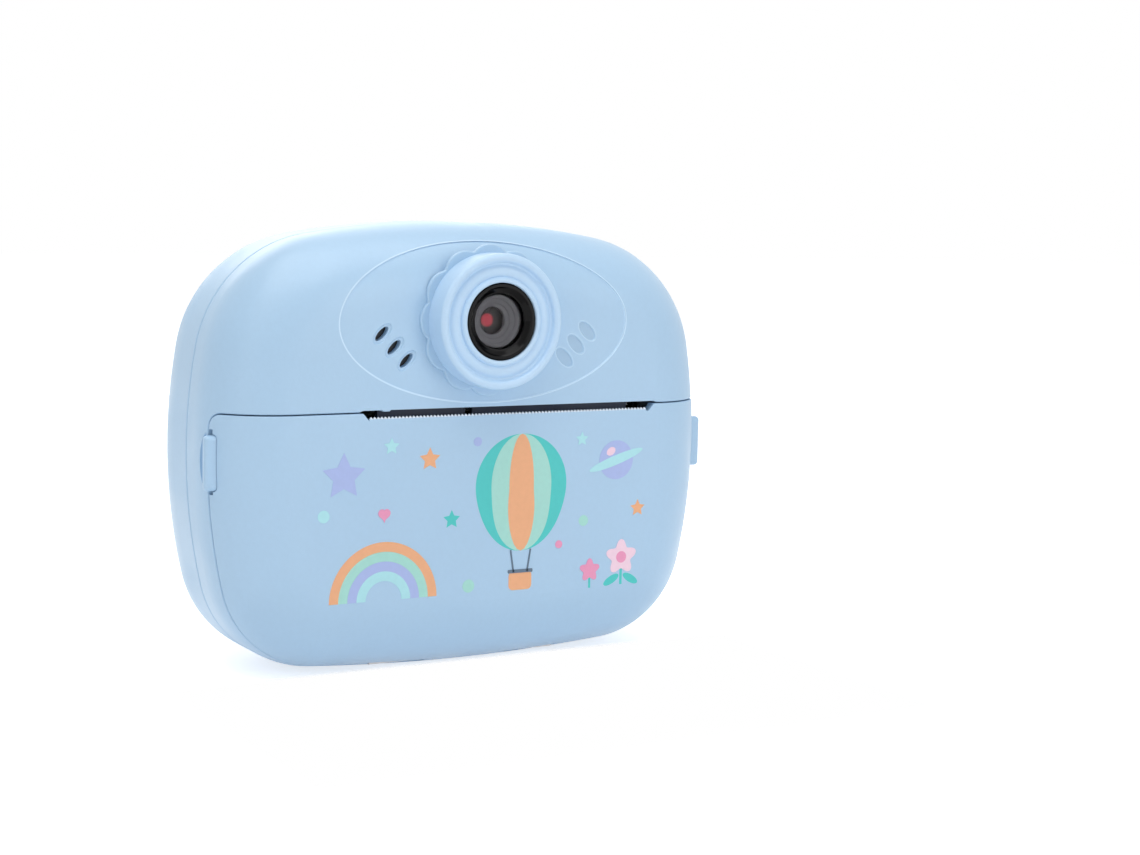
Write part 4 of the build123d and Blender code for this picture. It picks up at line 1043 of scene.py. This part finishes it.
        def radius_at(angle: float) -> float:
            """The radius for one direction."""
            up, across = math.sin(angle), abs(math.cos(angle))
            return size * (0.5 - 0.5 * up + 0.25 * up * math.sqrt(across) / (up + 1.4))

        return radius_at


@dataclass
class LensUnit:
    """Collar, ring, bezel and optics."""

    def build(self) -> None:
        """Dresses the lens from outside to inside."""
        centre = tuple(middle("lens_window"))
        dress(Finishes.case, "petal_collar")
        dress(Finishes.lit_ring_blue, "lens_ring")
        dress(Finishes.black_gloss, "lens_bezel")
        dress(Finishes.window, "lens_window")
        barrel = TurnedPlastic("barrel_grey", srgb(46, 42, 47), 0.4, centre=centre)
        dress(barrel, "lens_barrel")
        dress(Finishes.element, "front_lens")
        pupil = Pupil("lens_pupil", srgb(26, 22, 25), 0.3, centre=centre)
        dress(pupil, "iris_disc")
        dress(Finishes.board, "sensor_board")


@dataclass
class BackPanel:
    """Screen, keys with their signs, and the shutter button."""

    sign_film: float = 0.02 * MM
    arrow_reach: float = 1.7
    sign: Finish = Ink("ink_sign", srgb(96, 116, 140), 0.4)

    def build(self) -> None:
        """Dresses the back, and prints a plain sign on each key."""
        centre = tuple(middle("screen_window"))
        panel = DarkPanel("screen_black", srgb(12, 12, 15), 0.06, centre=centre)
        dress(panel, "screen_window")
        dress(Finishes.black, "screen_module")
        dress(Finishes.key, "menu_key", "back_key", "ok_key", "next_key", "print_key")
        dress(Finishes.accent, "shutter_button")
        self._menu()
        self._arrow("back_key", 0.0)
        self._ring()
        self._arrow("next_key", math.pi)
        self._sheet()

    def _start(self, key: str) -> tuple[Stencil, float, float]:
        """A stencil on a key's face, and the key's middle in millimetres."""
        spot = middle(key) / MM
        return Stencil(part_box(key)[1][1], Facing.REAR, self.sign_film), spot.x, spot.z

    def _menu(self) -> None:
        """Three bars."""
        ink, x, z = self._start("menu_key")
        for row in (-1.1, 0.0, 1.1):
            ink.bar(x, z + row, 3.0, 0.5)
        ink.publish("sign_menu", self.sign, "menu_key", "key_plastic")

    def _arrow(self, key: str, direction: float) -> None:
        """A triangle that points along X, 0, or against it, pi."""
        ink, x, z = self._start(key)
        third = 2 * math.pi / 3

        def radius_at(angle: float) -> float:
            """The distance to the triangle's side in one direction."""
            off = (angle - direction + third / 2) % third - third / 2
            return self.arrow_reach * 0.5 / math.cos(third / 2 - abs(off))

        ink.polar(x, z, radius_at, 60)
        ink.publish("sign_" + key, self.sign, key, "key_plastic")

    def _ring(self) -> None:
        """A ring."""
        ink, x, z = self._start("ok_key")
        ink.arch(x, z, 1.0, 1.5, 360.0)
        ink.publish("sign_ok", self.sign, "ok_key", "key_plastic")

    def _sheet(self) -> None:
        """A sheet coming out of a slot."""
        ink, x, z = self._start("print_key")
        ink.bar(x, z + 0.9, 3.4, 0.6)
        ink.bar(x, z - 0.6, 2.0, 1.9)
        ink.publish("sign_print", self.sign, "print_key", "key_plastic")


@dataclass
class PrintMechanism:
    """Platen, gears, motor, print head and the parts that guide the paper."""

    def build(self) -> None:
        """Dresses the mechanism."""
        dress(Finishes.guide, "paper_guide")
        dress(Finishes.black, "paper_sensor", "head_bracket")
        dress(Finishes.rubber, "platen_roller")
        dress(Finishes.steel, "platen_shaft", "motor_shaft", "stepper_motor")
        dress(Finishes.steel, "gear_plate", "head_spring")
        dress(Finishes.bush, "platen_bushes")
        dress(Finishes.acetal, "platen_gear", "idler_gear")
        dress(Finishes.brass, "motor_pinion")
        dress(Finishes.ceramic, "print_head")
        dress(Finishes.sink, "heat_sink")


@dataclass
class PaperSupply:
    """The bay and the roll in it."""

    def build(self) -> None:
        """Dresses the bay and the roll."""
        dress(Finishes.bay, "paper_bay")
        centre = tuple(middle("paper_roll"))
        dress(WoundPaper("roll_white", srgb(240, 240, 237), 0.62, centre=centre), "paper_roll")


@dataclass
class Insides:
    """Boards, cables, battery, switches, speaker and ports."""

    def build(self) -> None:
        """Dresses what the covers hide, and the sockets that show at the side."""
        dress(Finishes.board, "main_board")
        dress(Finishes.film, "lens_ribbon", "head_ribbon")
        dress(Finishes.leads, "leads")
        dress(Finishes.pouch, "battery")
        dress(Finishes.black, "key_switches", "shutter_switch", "speaker", "memory_card")
        dress(Finishes.steel, "board_screws", "usb_port", "card_socket")


# --- Studio -----------------------------------------------------------------------------
@dataclass(frozen=True)
class Softbox:
    """One large soft lamp."""

    name: str
    place: Point
    size: Pair
    power: float
    aim: Point = (0.0, 0.0, 0.045)

    def build(self) -> None:
        """Hangs the lamp and aims it."""
        lamp = bpy.data.lights.new(self.name, "AREA")
        lamp.shape = "RECTANGLE"
        lamp.size, lamp.size_y = self.size
        lamp.energy = self.power
        holder = bpy.data.objects.new(self.name, lamp)
        holder.location = self.place
        direction = Vector(self.aim) - Vector(self.place)
        holder.rotation_euler = direction.to_track_quat("-Z", "Y").to_euler()
        bpy.context.scene.collection.objects.link(holder)


@dataclass
class Studio:
    """White floor, soft lamps and the camera."""

    floor_half: float = 3.0
    floor_gap: float = 0.1 * MM
    floor_colour: Colour = (0.86, 0.86, 0.87)
    floor_lift: float = 0.62
    floor_bounce: float = 0.12
    well_half: float = 62 * MM
    well_ahead: float = 56 * MM
    well_back: float = 14 * MM
    well_edge: float = 3 * MM
    ambient: float = 0.45
    azimuth: float = -30.487
    elevation: float = 6.156
    roll: float = 1.207
    distance: float = 0.41514
    slide_right: float = 0.027136
    slide_up: float = 0.0026
    target: Point = (0.0, 0.000904, 0.0435)
    focal: float = 63.74
    sensor: float = 36.0
    lamps: tuple[Softbox, ...] = (
        Softbox("overhead", (-0.1, -0.15, 0.95), (0.9, 0.9), 5.7),
        Softbox("left_wall", (-0.78, -0.45, 0.42), (0.24, 0.9), 0.55),
        Softbox("front_right", (0.45, -0.95, 0.30), (0.5, 0.8), 1.8),
        Softbox("rear_fill", (0.2, 0.9, 0.55), (0.8, 0.6), 2.0),
    )

    def build(self) -> None:
        """Builds the studio."""
        self._floor()
        self._world()
        for lamp in self.lamps:
            lamp.build()
        self._camera()
        bpy.context.scene.view_settings.view_transform = "Standard"

    def _seen(self, tree: Tree) -> Socket:
        """1 for rays that show a backdrop: from the camera, in gloss and through glass."""
        path = tree.add("LightPath").outputs
        both = tree.math("ADD", path["Is Camera Ray"], path["Is Glossy Ray"])
        return tree.math("ADD", both, path["Is Transmission Ray"], clamp=True)

    def _well(self, tree: Tree) -> Socket:
        """1 where the open door hangs below the sheet, except for bounced light."""
        across, ahead, _ = tree.split(tree.place())
        sides = tree.math("SUBTRACT", tree.math("ABSOLUTE", across), self.well_half)
        middle_line = cad_low[1] + (self.well_back - self.well_ahead) / 2
        ends = tree.math("ABSOLUTE", tree.math("SUBTRACT", ahead, middle_line))
        ends = tree.math("SUBTRACT", ends, (self.well_back + self.well_ahead) / 2)
        inside = tree.ramp(tree.math("MAXIMUM", sides, ends), 0.0, self.well_edge, 1.0, 0.0)
        bounced = tree.add("LightPath").outputs["Is Diffuse Ray"]
        return tree.math("MULTIPLY", inside, tree.math("SUBTRACT", 1.0, bounced))

    def _floor(self) -> None:
        """A matt white sheet that keeps the shadow, open where the door swings and from below."""
        mesh = bmesh.new()
        under = Matrix.Translation((0, 0, -self.floor_gap))
        bmesh.ops.create_grid(mesh, x_segments=2, y_segments=2, size=self.floor_half, matrix=under)
        data = bpy.data.meshes.new("floor")
        mesh.to_mesh(data)
        mesh.free()
        material = bpy.data.materials.new("floor_white")
        material.use_nodes = True
        tree = Tree(material.node_tree)
        plain = {"Base Color": self.floor_colour, "Roughness": 1.0, "Specular IOR Level": 0.0}
        matt = tree.add("BsdfPrincipled", plain)
        strength = tree.ramp(self._seen(tree), 0.0, 1.0, self.floor_bounce, self.floor_lift)
        glow = tree.add("Emission", {"Strength": strength})
        both = tree.add("AddShader", {0: matt.outputs[0], 1: glow.outputs[0]})
        clear = tree.add("BsdfTransparent")
        below = tree.add("NewGeometry").outputs["Backfacing"]
        away = tree.math("MAXIMUM", self._well(tree), below)
        mixed = tree.add("MixShader", {"Fac": away, 1: both.outputs[0], 2: clear.outputs[0]})
        tree.add("OutputMaterial", {"Surface": mixed.outputs[0]})
        data.materials.append(material)
        floor = bpy.data.objects.new("floor", data)
        bpy.context.scene.collection.objects.link(floor)

    def _world(self) -> None:
        """A white surround, dimmer as a lamp than as a backdrop."""
        world = bpy.data.worlds.new("studio")
        world.use_nodes = True
        bpy.context.scene.world = world
        tree = Tree(world.node_tree)
        strength = tree.ramp(self._seen(tree), 0.0, 1.0, self.ambient, 1.0)
        sky = tree.add("Background", {"Color": (1.0, 1.0, 1.0), "Strength": strength})
        tree.add("OutputWorld", {"Surface": sky.outputs[0]})

    def _camera(self) -> None:
        """The camera, left of the lens and a little above it."""
        turn, rise, tilt = (math.radians(v) for v in (self.azimuth, self.elevation, self.roll))
        flat = Vector((math.sin(turn), -math.cos(turn), 0.0)) * math.cos(rise)
        back = flat + Vector((0.0, 0.0, math.sin(rise)))
        level = (-back).cross(Vector((0, 0, 1))).normalized()
        upward = level.cross(-back)
        right = level * math.cos(tilt) + upward * math.sin(tilt)
        up = upward * math.cos(tilt) - level * math.sin(tilt)
        data = bpy.data.cameras.new("camera")
        data.lens, data.sensor_width = self.focal, self.sensor
        data.clip_start, data.clip_end = 0.01, 20.0
        holder = bpy.data.objects.new("camera", data)
        axes = Matrix((right, up, back)).transposed().to_4x4()
        spot = Vector(self.target) + back * self.distance
        spot += right * self.slide_right + up * self.slide_up
        holder.matrix_world = Matrix.Translation(spot) @ axes
        bpy.context.scene.collection.objects.link(holder)
        bpy.context.scene.camera = holder


def main() -> None:
    """Builds and dresses the camera, then the studio round it."""
    logging.basicConfig(level=logging.INFO, format="%(name)s: %(message)s")
    covers = (Casing(), DoorPrint(), LensUnit(), BackPanel())
    for unit in (*covers, PrintMechanism(), PaperSupply(), Insides(), Studio()):
        unit.build()
        log.info("built %s", type(unit).__name__)


if __name__ == "__main__":
    main()
